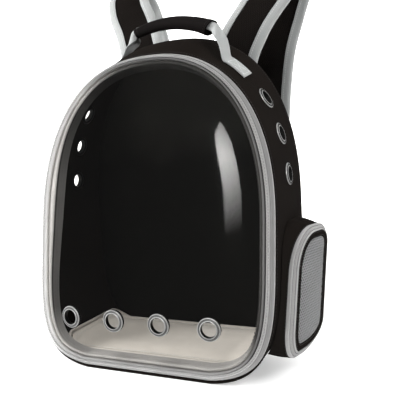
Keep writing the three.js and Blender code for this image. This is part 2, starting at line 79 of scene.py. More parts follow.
class Wire:
    # a socket of a node tree; sums on it add Math nodes
    def __init__(self, tree, socket=None):
        self.tree = tree
        self.socket = socket

    def node(self, kind, settings=None, inputs=None, output=0):
        made = self.tree.nodes.new("ShaderNode" + kind)
        for key, value in (settings or {}).items():
            setattr(made, key, value)
        for key, value in (inputs or {}).items():
            if isinstance(value, Wire):
                self.tree.links.new(value.socket, made.inputs[key])
            else:
                made.inputs[key].default_value = value
        return Wire(self.tree, made.outputs[output])

    def math(self, operation, other=0.0, first=None):
        pair = {0: self, 1: other} if first is None else {0: first, 1: self}
        return self.node("Math", {"operation": operation}, pair)

    def __add__(self, other):
        return self.math("ADD", other)

    __radd__ = __add__

    def __sub__(self, other):
        return self.math("SUBTRACT", other)

    def __rsub__(self, other):
        return self.math("SUBTRACT", first=other)

    def __mul__(self, other):
        return self.math("MULTIPLY", other)

    __rmul__ = __mul__

    def __pow__(self, other):
        return self.math("POWER", other)

    def wave(self, pitch, kind="SINE"):
        return (self * (2 * math.pi / pitch)).math(kind)

    def clamp(self):
        return self.node("Clamp", {}, {0: self})

    def ramp(self, low, high):
        # rises from 0 at low to 1 at high
        return ((self - low) * (1 / (high - low))).clamp()

    def blend(self, dark, light):
        dark, light = ((*end, 1) if isinstance(end, tuple) else end for end in (dark, light))
        return self.node("Mix", {"data_type": "RGBA"}, {0: self, 6: dark, 7: light}, 2)


class Finish:
    # a material with its shader; fixed values go straight on the shader's sockets
    def __init__(self, name, **fixed):
        self.material = bpy.data.materials.new(name)
        self.material.use_nodes = True
        tree = self.material.node_tree
        self.shader = tree.nodes["Principled BSDF"]
        self.wire = Wire(tree)
        for key, value in fixed.items():
            self.shader.inputs[key.replace("_", " ")].default_value = value

    def feed(self, key, wire):
        self.wire.tree.links.new(wire.socket, self.shader.inputs[key])

    def place(self):
        # metres in the object's own frame
        return self.wire.node("TexCoord", {}, {}, 3)

    def split(self, spot, axes):
        return [self.wire.node("SeparateXYZ", {}, {0: spot}, axis) for axis in axes]

    def clothPlace(self):
        # millimetres along and across the cloth
        spot = self.wire.node("UVMap", {"uv_map": "cloth"})
        return spot, *self.split(spot, (0, 1))

    def flatPlace(self):
        # millimetres across and up, for panels that were remeshed
        return [axis * (1 / mm) for axis in self.split(self.place(), (0, 2))]

    def grain(self, scale, detail=2.0, spot=None, stretch=None):
        spot = spot or self.place()
        if stretch:
            spot = self.wire.node("VectorMath", {"operation": "MULTIPLY"}, {0: spot, 1: stretch})
        return self.wire.node("TexNoise", {}, {"Vector": spot, "Scale": scale, "Detail": detail})

    def surface(self, colour, rough, height, depth, strength=1.0):
        # colour, roughness and a bump whose depth is in millimetres
        self.feed("Base Color", colour)
        self.feed("Roughness", rough)
        relief = {"Strength": strength, "Distance": depth * mm, "Height": height}
        self.feed("Normal", self.wire.node("Bump", {}, relief))
        return self.material


def wovenFinish(name, dark, light, pitch, depth, rough=0.85, **fixed):
    # plain weave: warp and weft cross in a check of small swells
    finish = Finish(name, **fixed)
    spot, along, across = finish.clothPlace()
    weave = along.wave(2 * pitch) * across.wave(2 * pitch)
    slubs = finish.grain(0.9, 1.0, spot, (0.12, 1.6, 1))
    patches = finish.grain(14, 3.0)
    tone = weave * 0.1 + slubs * 0.3 + patches * 0.6 + 0.05
    dull = patches * 0.16 + (rough - 0.08)
    return finish.surface(tone.clamp().blend(dark, light), dull, weave * 0.5 + slubs * 0.6, depth)


def webbingFinish(name, dark, light):
    # heavy tape: ribs along it, with a herringbone of slanted yarns
    finish = Finish(name)
    spot, along, across = finish.clothPlace()
    fold = ((across * (1 / 4.2)).math("FRACT") - 0.5).math("ABSOLUTE")
    yarns = (along + fold * 5.0).wave(1.7)
    ribs = across.wave(2.1)
    fuzz = finish.grain(1.3, 2.0, spot)
    wear = finish.grain(24, 3.0)
    tone = yarns * 0.2 + ribs * 0.08 + fuzz * 0.4 + wear * 0.5 + 0.05
    relief = yarns * 0.4 + ribs * 0.3 + fuzz * 0.5
    return finish.surface(tone.clamp().blend(dark, light), wear * 0.2 + 0.7, relief, 0.35)


def meshClothFinish(name, dark, light, pitch, flat):
    # knitted spacer cloth: a hexagonal field of small pits
    finish = Finish(name, Specular_IOR_Level=0.1)
    along, across = finish.flatPlace() if flat else finish.clothPlace()[1:]
    lines = [along * math.cos(turn) + across * math.sin(turn) for turn in np.radians((0, 120, 240))]
    pits = sum(line.wave(pitch, "COSINE") for line in lines)
    patches = finish.grain(18, 3.0)
    tone = 0.62 - pits * 0.16 + (patches - 0.5) * 0.8
    return finish.surface(tone.clamp().blend(dark, light), patches * 0.15 + 0.8, 1 - pits * 0.33, 0.5)


def plushFinish(name, dark, light):
    # short-pile cushion cloth
    finish = Finish(name, Sheen_Weight=0.25, Sheen_Roughness=0.5)
    pile = finish.grain(900, 3.0)
    nap = finish.grain(60, 4.0)
    tone = pile * 0.45 + nap * 0.75 - 0.1
    return finish.surface(tone.clamp().blend(dark, light), nap * 0.1 + 0.85, pile * 0.6 + nap, 0.6)


def tapeFinish(name, dark, light, ribPitch=0.9):
    # fine ribbed zip tape; the ribs run round the ring
    finish = Finish(name)
    spot, along, across = finish.clothPlace()
    ribs = across.wave(ribPitch)
    yarns = along.wave(0.8)
    streaks = finish.grain(0.5, 2.0, spot, (0.02, 1.5, 1))
    wear = finish.grain(30, 3.0)
    tone = ribs * 0.1 + yarns * 0.06 + streaks * 0.6 + wear * 0.4
    return finish.surface(tone.clamp().blend(dark, light), wear * 0.2 + 0.5, ribs * 0.5 + yarns * 0.2, 0.2)


def grey(value, warmth=0.01):
    return (value, value * (1 - warmth), value * (1 - 2 * warmth))


def paintedLightTapeFinish(name, tones, heights, leftLitTone, leftLitFade=0.12):
    # ribbed tape with painted light and shade: its tone changes from the base to the sides and to the top of
    # the arch;
    # heights in metres, tones as greys, and the -X side, where the key lamp falls, has a painted lit tone of
    # its own
    finish = Finish(name, Specular_IOR_Level=0.3)
    spot, _, across = finish.clothPlace()
    x, height = finish.split(finish.place(), (0, 2))
    low, sideLow, sideHigh, high = heights
    base, middle, top = (grey(tone) for tone in tones)
    # painted light: towards -X the side tone fades to the lit tone
    middle = x.ramp(-leftLitFade, 0).blend(grey(leftLitTone), middle)
    # painted light and shade by height: base tone, side tone, then top tone
    colour = height.ramp(low, sideLow).blend(base, middle)
    colour = height.ramp(sideHigh, high).blend(colour, top)
    ribs = across.wave(1.1)
    streaks = finish.grain(0.5, 2.0, spot, (0.02, 1.5, 1))
    wear = finish.grain(40, 3.0)
    soil = ribs * 0.05 + streaks * 0.35 + wear * 0.25 + 0.7
    multiply = {"data_type": "RGBA", "blend_type": "MULTIPLY"}
    soiled = finish.wire.node("Mix", multiply, {0: 1.0, 6: colour, 7: soil}, 2)
    return finish.surface(soiled, wear * 0.2 + 0.5, ribs, 0.15)


def liningFinish(name, dark, light, low, high):
    # close-woven lining with painted light: paler from a low to a high place, in millimetres
    finish = Finish(name, Specular_IOR_Level=0.06)
    across, up = finish.flatPlace()
    weave = across.wave(1.8) * up.wave(1.8)
    cloud = finish.grain(16, 3.0)
    # painted light: the tone rises with height
    tone = (up - low) * (1 / (high - low)) + (cloud - 0.5) * 0.5 + weave * 0.05
    return finish.surface(tone.clamp().blend(dark, light), cloud * 0.1 + 0.82, weave, 0.06)


def metalFinish(name, dark, light, **fixed):
    # pressed and plated, with faint turning marks
    finish = Finish(name, Metallic=0.55, **fixed)
    marks = finish.grain(260, 3.0)
    smear = finish.grain(70, 2.0)
    tone = marks * 0.4 + smear * 0.5
    return finish.surface(tone.clamp().blend(dark, light), smear * 0.2 + 0.22, marks, 0.04, 0.5)


def mouldedFinish(name, dark, light):
    # moulded plastic with a fine spark-eroded grain
    finish = Finish(name, Specular_IOR_Level=0.4)
    pores = finish.grain(1500, 2.0)
    cloud = finish.grain(40, 2.0)
    tone = pores * 0.4 + cloud * 0.5
    return finish.surface(tone.clamp().blend(dark, light), pores * 0.25 + 0.35, pores, 0.12)


def threadFinish(name, dark, light):
    # twisted sewing thread
    finish = Finish(name)
    twist = finish.grain(1800, 1.0)
    return finish.surface(twist.clamp().blend(dark, light), twist * 0.2 + 0.5, twist, 0.1)


def sheetFinish(name):
    # clear moulded sheet: see-through, glossier where it turns away, with faint handling haze
    finish = Finish(name)
    wire = finish.wire
    facing = wire.node("LayerWeight", {}, {"Blend": 0.5}, 1)
    haze = finish.grain(9, 4.0)
    gloss = facing ** 5.0 * 0.3 + haze * 0.01 + 0.02
    clear = wire.node("BsdfTransparent", {}, {"Color": (0.965, 0.958, 0.948, 1)})
    shine = wire.node("BsdfGlossy", {}, {"Color": (1, 1, 1, 1), "Roughness": 0.07})
    mixed = wire.node("MixShader", {}, {0: gloss, 1: clear, 2: shine})
    tree = finish.material.node_tree
    tree.nodes.remove(finish.shader)
    tree.links.new(mixed.socket, tree.nodes["Material Output"].inputs["Surface"])
    return finish.material


# where the painted light and shade of the tapes change: base to sides, then sides to top
zipHeights = (0.01, 0.04, 0.345, 0.385)
noseHeights = (0.022, 0.06, 0.345, 0.385)
trimHeights = (0.022, 0.07, 0.24, 0.36)
finishes = dict(
    blackFabric=wovenFinish("blackFabric", (0.006, 0.0048, 0.004), (0.0125, 0.0098, 0.0083), 0.7, 0.07,
                            Specular_IOR_Level=0.08),
    grip=wovenFinish("gripFabric", (0.005, 0.0042, 0.004), (0.011, 0.0092, 0.009), 1.1, 0.2, 0.7,
                     Specular_IOR_Level=0.15),
    lining=liningFinish("backLining", (0.0045, 0.0045, 0.004), (0.034, 0.034, 0.03), 250, 390),
    padMesh=meshClothFinish("backSpacerCloth", (0.005, 0.005, 0.005), (0.024, 0.022, 0.021), 3.4, True),
    strapMesh=meshClothFinish("strapSpacerCloth", (0.003, 0.0025, 0.0022), (0.0105, 0.0085, 0.0075), 2.6,
                              False),
    # zip and trim tapes carry painted light and shade by side and height; the seam groove's tape is painted
    # dark as shade, and pale on the -X side as painted light
    zipTape=paintedLightTapeFinish("zipTape", (0.57, 0.45, 0.5), zipHeights, 0.78),
    zipTeeth=mouldedFinish("zipTeeth", grey(0.36), grey(0.52)),
    zipGrooveShade=paintedLightTapeFinish("zipGrooveShade", (0.36, 0.045, 0.07), zipHeights, 0.8),
    zipEdge=paintedLightTapeFinish("zipEdge", (0.36, 0.26, 0.4), zipHeights, 0.35),
    zipFold=paintedLightTapeFinish("zipFold", (0.31, 0.13, 0.12), zipHeights, 0.82),
    trimNose=paintedLightTapeFinish("trimNose", (0.5, 0.045, 0.05), noseHeights, 0.62),
    trimSeam=paintedLightTapeFinish("trimSeam", (0.5, 0.045, 0.018), trimHeights, 0.05),
    trimTape=paintedLightTapeFinish("trimTape", (0.45, 0.045, 0.018), trimHeights, 0.16),
    pocketTape=tapeFinish("pocketZipTape", grey(0.35), grey(0.5)),
    # darker tape for the pocket zip's grooves, as painted shade
    pocketGrooveShade=tapeFinish("pocketZipGrooveShade", grey(0.16), grey(0.26)),
    paleTape=webbingFinish("paleWebbing", (0.3, 0.308, 0.303), (0.49, 0.503, 0.497)),
    blackTape=webbingFinish("blackWebbing", (0.007, 0.007, 0.007), (0.022, 0.021, 0.021)),
    netting=tapeFinish("pocketNetting", (0.25, 0.252, 0.255), (0.4, 0.403, 0.406), 0.5),
    netBack=wovenFinish("nettingBack", (0.015, 0.0155, 0.016), (0.045, 0.046, 0.048), 0.6, 0.15),
    plush=plushFinish("cushionPile", (0.65, 0.615, 0.564), (0.83, 0.79, 0.73)),
    piping=wovenFinish("cushionPiping", (0.52, 0.495, 0.465), (0.68, 0.65, 0.61), 0.8, 0.2),
    nickel=metalFinish("nickel", (0.5, 0.5, 0.49), (0.78, 0.78, 0.77)),
    # darker nickel for the eyelets' grooves, throats and washers is painted shade
    grooveShadeNickel=metalFinish("grooveShadeNickel", (0.13, 0.13, 0.128), (0.26, 0.26, 0.257)),
    darkNickel=metalFinish("shadedNickel", (0.008, 0.008, 0.008), (0.026, 0.026, 0.025),
                           Specular_IOR_Level=0.15),
    plastic=mouldedFinish("blackPlastic", (0.008, 0.008, 0.008), (0.02, 0.02, 0.02)),
    blackThread=threadFinish("blackThread", (0.012, 0.011, 0.011), (0.04, 0.037, 0.036)),
    paleThread=threadFinish("paleThread", (0.5, 0.52, 0.515), (0.8, 0.82, 0.815)),
    clear=sheetFinish("clearSheet"),
)
print("finishes made:", len(finishes))


# Lines and curves


def lerp(low, high, share):
    return low + (high - low) * share


def bell(share, middle, reach):
    return np.exp(-(((share - middle) / reach) ** 2))


def hump(share, middle, reach):
    return np.sqrt(np.maximum(0, 1 - ((share - middle) / reach) ** 2))


def raised(share, beads):
    # relief of rounded beads, each with a height, a place and a reach
    return sum(height * hump(share, at, reach) for height, at, reach in beads)


def unit(vectors):
    return vectors / np.maximum(1e-9, np.linalg.norm(vectors, axis=-1, keepdims=True))


def mirrorX(vectors, side):
    return vectors * np.array([side, 1, 1])


def ripple(points, size, seed):
    # smooth noise from -1 to 1 at each point
    flat = np.asarray(points).reshape(-1, 3) / size + seed
    return np.array([noise.noise(Vector(spot)) for spot in flat]).reshape(np.shape(points)[:-1])


def roundRing(sides, squareness=2.0):
    turn = np.linspace(0, 2 * np.pi, sides, endpoint=False)
    ring = np.stack([np.cos(turn), np.sin(turn)], -1)
    return np.sign(ring) * np.abs(ring) ** (2 / squareness)


def reachAlong(line):
    # length of a line up to each of its points
    return np.r_[0, np.cumsum(np.linalg.norm(np.diff(line, axis=0), axis=1))]


def readAt(places, marks, rows):
    # rows of numbers, read at places between their marks
    return np.stack([np.interp(places, marks, column) for column in rows.T], -1)


def evenly(path, pitch, closed=False):
    # points at an even pitch along a line, and the shares of the line's indices they fall at
    line = np.concatenate([path, path[:1]]) if closed else path
    reach = reachAlong(line)
    count = max(2, round(reach[-1] / pitch))
    marks = (np.arange(count) + 0.5) * reach[-1] / count
    return readAt(marks, reach, line), np.interp(marks, reach, np.arange(len(line)))


def smoothLine(rows, count):
    # centripetal spline through the rows, at an even pitch
    rows = np.asarray(rows, float)
    rows = np.concatenate([[2 * rows[0] - rows[1]], rows, [2 * rows[-1] - rows[-2]]])
    spans = np.sqrt(np.maximum(1e-6, np.linalg.norm(np.diff(rows, axis=0), axis=1)))
    knots = np.r_[0, np.cumsum(spans)]
    line = []
    for k in range(1, len(rows) - 2):
        t = np.linspace(knots[k], knots[k + 1], 40, endpoint=False)[:, None]

        def mix(a, b, low, high):
            return a * (high - t) / (high - low) + b * (t - low) / (high - low)

        t0, t1, t2, t3 = knots[k - 1:k + 3]
        p0, p1, p2, p3 = rows[k - 1:k + 3]
        a1, a2, a3 = mix(p0, p1, t0, t1), mix(p1, p2, t1, t2), mix(p2, p3, t2, t3)
        line.append(mix(mix(a1, a2, t0, t2), mix(a2, a3, t1, t3), t1, t2))
    line = np.concatenate([*line, rows[-2:-1]])
    reach = reachAlong(line)
    return readAt(np.linspace(0, reach[-1], count), reach, line)


def joinArcs(arcs, edgeSteps):
    # one closed outline from the arcs of its corners, with straight edges between them
    share = np.linspace(0, 1, edgeSteps + 1)[1:-1, None]
    rows = []
    for arc, following in zip(arcs, arcs[1:] + arcs[:1]):
        rows += [arc, lerp(arc[-1], following[0], share)]
    return np.concatenate(rows)


def headings(path, closed=False):
    if closed:
        return unit(np.roll(path, -1, 0) - np.roll(path, 1, 0))
    return unit(np.gradient(path, axis=0))


def framesAlong(path, hint, closed=False):
    # directions along, across and through a line, with across kept near the hint
    along = headings(path, closed)
    hint = np.broadcast_to(np.asarray(hint, float), path.shape)
    across = unit(hint - along * (hint * along).sum(1, keepdims=True))
    return along, across, np.cross(along, across)


def sweep(path, across, through, section):
    section = np.asarray(section, float)
    if section.ndim == 2:
        section = np.broadcast_to(section, (len(path), *section.shape))
    return path[:, None] + across[:, None] * section[..., :1] + through[:, None] * section[..., 1:]


# Mesh building


def stepLengths(points, axis, closed):
    # mean length along the rows or the columns of a grid
    spans = np.linalg.norm(np.roll(points, -1, axis) - points, axis=2).mean(1 - axis)
    return np.r_[0, np.cumsum(spans if closed else spans[:-1])]


def faceOutwards(mesh, weld=False):
    work = bmesh.new()
    work.from_mesh(mesh)
    if weld:
        bmesh.ops.remove_doubles(work, verts=work.verts, dist=0.02 * mm)
    bmesh.ops.recalc_face_normals(work, faces=work.faces)
    work.to_mesh(mesh)
    work.free()


class Shape:
    # gathers faces in millimetres, with cloth coordinates for each corner, into one piece
    def __init__(self):
        self.points, self.faces, self.cloth, self.marks = [], [], [], []
        self.total = 0

    def add(self, points, faces, cloth=None, mark=0):
        self.points.append(np.asarray(points, float).reshape(-1, 3))
        self.faces += (np.asarray(faces) + self.total).tolist()
        corners = sum(len(face) for face in faces)
        self.cloth.append(np.zeros((corners, 2)) if cloth is None else cloth.reshape(-1, 2))
        self.marks += np.broadcast_to(mark, len(faces)).tolist()
        self.total += len(self.points[-1])

    def cap(self, corners, mark=0):
        self.faces.append(list(corners))
        self.cloth.append(np.zeros((len(corners), 2)))
        self.marks.append(mark)

    def grid(self, points, loopRows=False, loopCols=False, mark=0):
        points = np.asarray(points, float)
        rows, cols = points.shape[:2]
        rowReach, colReach = stepLengths(points, 0, loopRows), stepLengths(points, 1, loopCols)
        i, j = np.meshgrid(np.arange(rows - 1 + loopRows), np.arange(cols - 1 + loopCols), indexing="ij")
        corners = [(i, j), (i + 1, j), (i + 1, j + 1), (i, j + 1)]
        quads = np.stack([(a % rows) * cols + b % cols for a, b in corners], -1).reshape(-1, 4)
        cloth = np.stack([np.stack([rowReach[a], colReach[b]], -1) for a, b in corners], 2)
        self.add(points, quads, cloth, np.broadcast_to(mark, i.shape).ravel())

    def hoop(self, points, mark=0):
        # closed both ways
        self.grid(points, True, True, mark)

    def tube(self, points, mark=0):
        # closed round, with a flat face at each end
        self.grid(points, False, True, mark)
        rows, cols = np.shape(points)[:2]
        for start in (self.total - rows * cols, self.total - cols):
            self.cap(range(start, start + cols), mark)

    def scatter(self, form, origins, axes, mark=0):
        # copies of a small form; axes are its three directions, scaled, at each origin
        points, faces = form
        offsets = (np.arange(len(origins)) * len(points))[:, None, None]
        for group in faces:
            copies = np.asarray(group) + offsets
            self.add([], copies.reshape(-1, len(group[0])), None, mark)
        self.add(origins[:, None] + np.einsum("kc,ncd->nkd", points, axes), [], None, mark)

    def piece(self, name, looks, node, crease=38, weld=False, side=1):
        # one object that stands for a node; side -1 mirrors it
        points = mirrorX(np.concatenate(self.points), side) * mm
        mesh = bpy.data.meshes.new(name)
        mesh.from_pydata(points.tolist(), [], self.faces)
        mesh.polygons.foreach_set("material_index", self.marks)
        layer = mesh.uv_layers.new(name="cloth")
        layer.uv.foreach_set("vector", np.concatenate(self.cloth).ravel())
        faceOutwards(mesh, weld)
        for look in looks:
            mesh.materials.append(finishes[look])
        obj = bpy.data.objects.new(name, mesh)
        scene.collection.objects.link(obj)
        mesh.shade_smooth()
        mesh.set_sharp_from_angle(angle=math.radians(crease))
        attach(obj, "root")
        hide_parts(node)
        return obj


def settle(obj):
    # applies the modifiers
    solved = obj.evaluated_get(bpy.context.evaluated_depsgraph_get())
    mesh = bpy.data.meshes.new_from_object(solved)
    old = obj.data
    obj.modifiers.clear()
    obj.data = mesh
    mesh.name = obj.name
    bpy.data.meshes.remove(old)


# Stitches and zip teeth


def barForm(sides, stations):
    # a short rounded bar along x, one unit long and two units across
    ring = roundRing(sides)
    points = [[place, radius * a, radius * b] for place, radius in stations for a, b in ring]
    quads = []
    for k in range(len(stations) - 1):
        for j in range(sides):
            nextJ = (j + 1) % sides
            quads.append([k * sides + j, k * sides + nextJ, (k + 1) * sides + nextJ, (k + 1) * sides + j])
    last = (len(stations) - 1) * sides
    ends = [list(range(sides)), list(range(last, last + sides))]
    return np.array(points), [quads, ends]


threadForm = barForm(5, [(-0.5, 0.3), (-0.34, 1), (0.34, 1), (0.5, 0.3)])
toothForm = barForm(6, [(-0.5, 0.45), (-0.36, 1), (0.36, 1), (0.5, 0.45)])


def sewLine(shape, path, normals, mark=1, closed=False, pitch=3.8, length=2.7, radius=0.36):
    # a row of stitches lying on a surface
    spots, index = evenly(path, pitch, closed)
    ring = np.concatenate([normals, normals[:1]])
    up = unit(readAt(index, np.arange(len(ring)), ring))
    along = headings(spots, closed)
    axes = np.stack([along * length, np.cross(up, along) * radius, up * radius], 1)
    shape.scatter(threadForm, spots + up * radius * 0.4, axes, mark)


def boxStitch(shape, surface, normals, rows, columns, steps):
    # a square with both diagonals, between rows and columns of a surface
    (low, high), (near, far) = rows, columns
    corners = [(low, near), (high, near), (high, far), (low, far), (low, near), (high, far), (high, near),
               (low, far)]
    share = np.linspace(0, 1, steps)[:, None]
    for start, end in zip(corners, corners[1:]):
        at = tuple(np.round(lerp(np.array(start), np.array(end), share)).astype(int).T)
        sewLine(shape, surface[at], normals[at], pitch=3.2, length=2.3, radius=0.3)


coilRows = np.array([-0.06, 0, 0.06])  # edges and middle of a zip's coil, as shares of its band


def addTeeth(shape, coil, sizes):
    # coil turns across the channel, alternating a little from side to side
    spots, index = evenly(coil[:, 1], sizes["toothPitch"], True)
    ring = np.concatenate([coil, coil[:1]])
    near, far = (readAt(index, np.arange(len(ring)), ring[:, row]) for row in (0, 2))
    across = unit(far - near)
    along = headings(spots, True)
    up = unit(np.cross(along, across))
    centre = coil.reshape(-1, 3).mean(0)
    if ((spots - centre) * up).sum() < 0:
        up = -up
    shift = np.where(np.arange(len(spots)) % 2, 0.45, -0.45)[:, None] * across
    width = sizes["toothWidth"]
    axes = np.stack([across * sizes["toothLength"], along * width, up * width * 1.35], 1)
    shape.scatter(toothForm, spots + shift + up * 0.55, axes, 1)


# Body outline, shared by the pieces that follow it

body = dict(halfWidth=161, frontHeight=385, backHeight=420, depth=160, lean=math.radians(8), widestAt=180,
            topPower=2.31, basePower=4.6, baseFlat=2, backNarrowing=0.985, wall=3, crest=8, crestFlat=40,
            crestEnd=80)
forward = np.array([0, -math.cos(body["lean"]), math.sin(body["lean"])])


def frontY(z):
    return -body["depth"] / 2 + math.tan(body["lean"]) * z


def outline(angle, wide=1.0, tall=1.0):
    # arched outline, from the +X side over the top, planed flat below
    across, up = np.cos(angle), np.sin(angle)
    power = np.where(up >= 0, body["topPower"], body["basePower"])
    rise = np.abs(up) ** (2 / power)
    x = np.sign(across) * body["halfWidth"] * np.abs(across) ** (2 / power)
    widest, flat = body["widestAt"], body["baseFlat"]
    arch = widest + (body["frontHeight"] - widest) * rise
    foot = np.maximum(0, widest * (1 - rise) - flat) * widest / (widest - flat)
    return np.stack([x * wide, np.where(up >= 0, arch, foot) * tall], -1)


def outlineNormal(angle, wide=1.0, tall=1.0):
    along = unit(outline(angle + 0.004, wide, tall) - outline(angle - 0.004, wide, tall))
    return np.stack([along[..., 1], -along[..., 0]], -1)


def edgePoint(angle, atBack, inset):
    angle, inset = np.broadcast_arrays(np.asarray(angle, float), np.asarray(inset, float))
    wide = body["backNarrowing"] if atBack else 1.0
    tall = body["backHeight"] / body["frontHeight"] if atBack else 1.0
    spot = outline(angle, wide, tall) - outlineNormal(angle, wide, tall) * inset[..., None]
    x, z = spot[..., 0], spot[..., 1]
    return np.stack([x, np.full_like(z, body["depth"] / 2) if atBack else frontY(z), z], -1)


def swollen(points, place):
    # soft cloth of the top stands a little higher between its edges
    flat, end = body["crestFlat"], body["crestEnd"]
    fade = np.clip((np.abs(points[..., 0]) - flat) / (end - flat), 0, 1)
    rise = body["crest"] * (0.5 + 0.5 * np.cos(np.pi * fade)) * np.clip(4 * place * (1 - place), 0, 1)
    return points + (rise * (points[..., 2] > body["widestAt"]))[..., None] * np.array([0, 0, 1])


def bodyPoint(angle, place, inset):
    # spot on the band by its share of the depth
    place = np.asarray(place, float)
    front, back = edgePoint(angle, False, inset), edgePoint(angle, True, inset)
    return swollen(front + (back - front) * place[..., None], place)


def ringPoint(angle, y, inset):
    # spot on the band by its y
    front, back = edgePoint(angle, False, inset), edgePoint(angle, True, inset)
    return bodyPoint(angle, (y - front[..., 1]) / (back[..., 1] - front[..., 1]), inset)


def evenAngles(count):
    fine = np.linspace(0, 2 * np.pi, 12001)
    reach = reachAlong(outline(fine))
    return np.interp(np.arange(count) * reach[-1] / count, reach, fine)


def angleWhere(measure, target, low=0.0, high=np.pi / 2):
    # angle at which a rising measure reaches its target
    low, high = np.full(np.shape(target), low, float), np.full(np.shape(target), high, float)
    for _ in range(40):
        middle = (low + high) / 2
        below = measure(middle) < target
        low, high = np.where(below, middle, low), np.where(below, high, middle)
    return (low + high) / 2


def bodySideX(y, z):
    angle = angleWhere(lambda guess: ringPoint(guess, y, 0)[..., 2], z, -np.pi / 2)
    return ringPoint(angle, y, 0)[..., 0]


# Eyelets

eyelet = dict(hole=10.5, drillReach=12, segments=56, groove=slice(3, 7), throat=9)
# radius and height, from the rim to the throat, and of the washer behind it
eyeletLip = [(13.5, 0.05), (13.45, 0.7), (13.1, 1.15), (12.6, 1.25), (12.0, 1.0), (11.4, 0.85), (10.8, 1.1),
             (10.3, 1.6), (9.8, 1.95), (9.35, 1.9), (9.05, 1.4), (9.0, 0.8)]
eyeletWasher = [(9.0, 0.3), (9.1, -0.7), (9.7, -1.2), (10.8, -1.1), (12.6, -0.7), (13.35, -0.3),
                (13.45, 0.25), (12.2, 0.3), (9.8, 0.3)]


def addEyelet(name, wall, clearance, groove, spot, normal):
    washer = [(radius, height - wall - clearance) for radius, height in eyeletWasher]
    profile = np.array(eyeletLip + washer + [(9.8, 0.05)])
    turn = np.linspace(0, 2 * np.pi, eyelet["segments"], endpoint=False)
    side = unit(np.cross(normal, (0, 0.3, 1)))
    other = np.cross(normal, side)
    radial = np.cos(turn)[:, None] * side + np.sin(turn)[:, None] * other
    rings = spot + radial[:, None] * profile[None, :, :1] + normal * profile[None, :, 1:]
    looks = np.zeros(len(profile), int)
    # painted shade: the groove takes the darker nickel passed in, and the throat and the washer take the
    # darkest
    looks[eyelet["groove"]] = 2
    looks[eyelet["throat"]:] = 1  # and the washer
    shape = Shape()
    shape.hoop(rings, looks)
    shape.piece(name, ["nickel", "darkNickel", groove], name, 50)


def drill(obj, places):
    # cuts a round hole at each spot and normal
    shape = Shape()
    for spot, normal in places:
        path = spot + np.array([-1, 1])[:, None] * eyelet["drillReach"] * normal
        _, across, through = framesAlong(path, np.cross(normal, (0, 0.3, 1)))
        shape.tube(sweep(path, across, through, roundRing(48) * eyelet["hole"]))
    mesh = bpy.data.meshes.new("drill")
    mesh.from_pydata((np.concatenate(shape.points) * mm).tolist(), [], shape.faces)
    faceOutwards(mesh)
    tool = bpy.data.objects.new("drill", mesh)
    scene.collection.objects.link(tool)
    cut = obj.modifiers.new("holes", "BOOLEAN")
    cut.object = tool
    cut.solver = "EXACT"
    settle(obj)
    bpy.data.objects.remove(tool)
    bpy.data.meshes.remove(mesh)
    obj.data.set_sharp_from_angle(angle=math.radians(38))


# Side band round the sides, top and base

# places are shares of the depth, and the rounding of both edges gives place and inset
gusset = dict(around=320, rows=15, run=(0.04, 0.96), sag=0.35, sagSize=55.0, stitches=(0.045, 0.955),
              clearance=1.1, rounding=[(0.0, 1.5), (0.0015, 0.6), (0.005, 0.12), (0.014, 0.0)])
sideVents = [(325, 0.51), (281, 0.53), (232, 0.54)]  # height and share of the depth


def addGusset():
    angle = evenAngles(gusset["around"])
    rounding, wall = gusset["rounding"], body["wall"]
    inner = [(place, wall - inset) for place, inset in rounding[1:]]
    run = np.linspace(*gusset["run"], gusset["rows"])
    outer = rounding + [(place, 0.0) for place in run] + [(1 - a, b) for a, b in rounding[::-1]]
    lining = [(1 - a, b) for a, b in inner] + [(place, wall) for place in run[::-2]] + inner[::-1]
    section = np.array(outer + lining)
    place = np.broadcast_to(section[:, 0], (len(angle), len(section)))
    inset = np.broadcast_to(section[:, 1], place.shape)
    points = bodyPoint(angle[:, None], place, inset)
    outside = (np.arange(len(section)) < len(outer)) & (section[:, 0] > 0.01) & (section[:, 0] < 0.99)
    soft = gusset["sag"] * (0.5 + 0.5 * ripple(points, gusset["sagSize"], 3.0)) * outside
    points = bodyPoint(angle[:, None], place, inset + soft)
    points[..., 2] = np.maximum(points[..., 2], 0)
    shape = Shape()
    shape.hoop(points)
    for at in gusset["stitches"]:
        seam = bodyPoint(angle, at, 0.1)
        backwards = edgePoint(angle, True, 0) - edgePoint(angle, False, 0)
        normals = unit(np.cross(backwards, headings(seam, True)))
        kept = seam[:, 2] > 1.5  # none under the flat base
        start = int(np.argmax(~kept & np.roll(kept, -1)))
        order = np.roll(np.arange(len(seam)), -start - 1)[: int(kept.sum())]
        sewLine(shape, seam[order], normals[order])
    band = shape.piece("sideBand", ["blackFabric", "blackThread"], "side_gusset")
    places = []
    for number, (height, share) in enumerate(sideVents, 1):
        at = angleWhere(lambda guess: bodyPoint(guess, share, 0)[..., 2], height)
        spot = bodyPoint(at, share, 0)
        roundwards = bodyPoint(at + 0.02, share, 0) - bodyPoint(at - 0.02, share, 0)
        normal = unit(-np.cross(roundwards, bodyPoint(at, 1, 0) - bodyPoint(at, 0, 0)))
        for side, word in bothSides:
            places.append((mirrorX(spot, side), mirrorX(normal, side)))
            addEyelet(f"side_grommet_{word}_{number}", wall, gusset["clearance"], "darkNickel", *places[-1])
    drill(band, places)


addGusset()
print("side band and its eyelets")


# Front zip, trim and window

zipBand = dict(
    top=dict(inset=0.4, width=8, outer=1.5, inner=8),
    side=dict(inset=0.4, width=13, outer=3, inner=5.5),
    base=dict(inset=4.8, width=9.2, outer=2, inner=6),
)
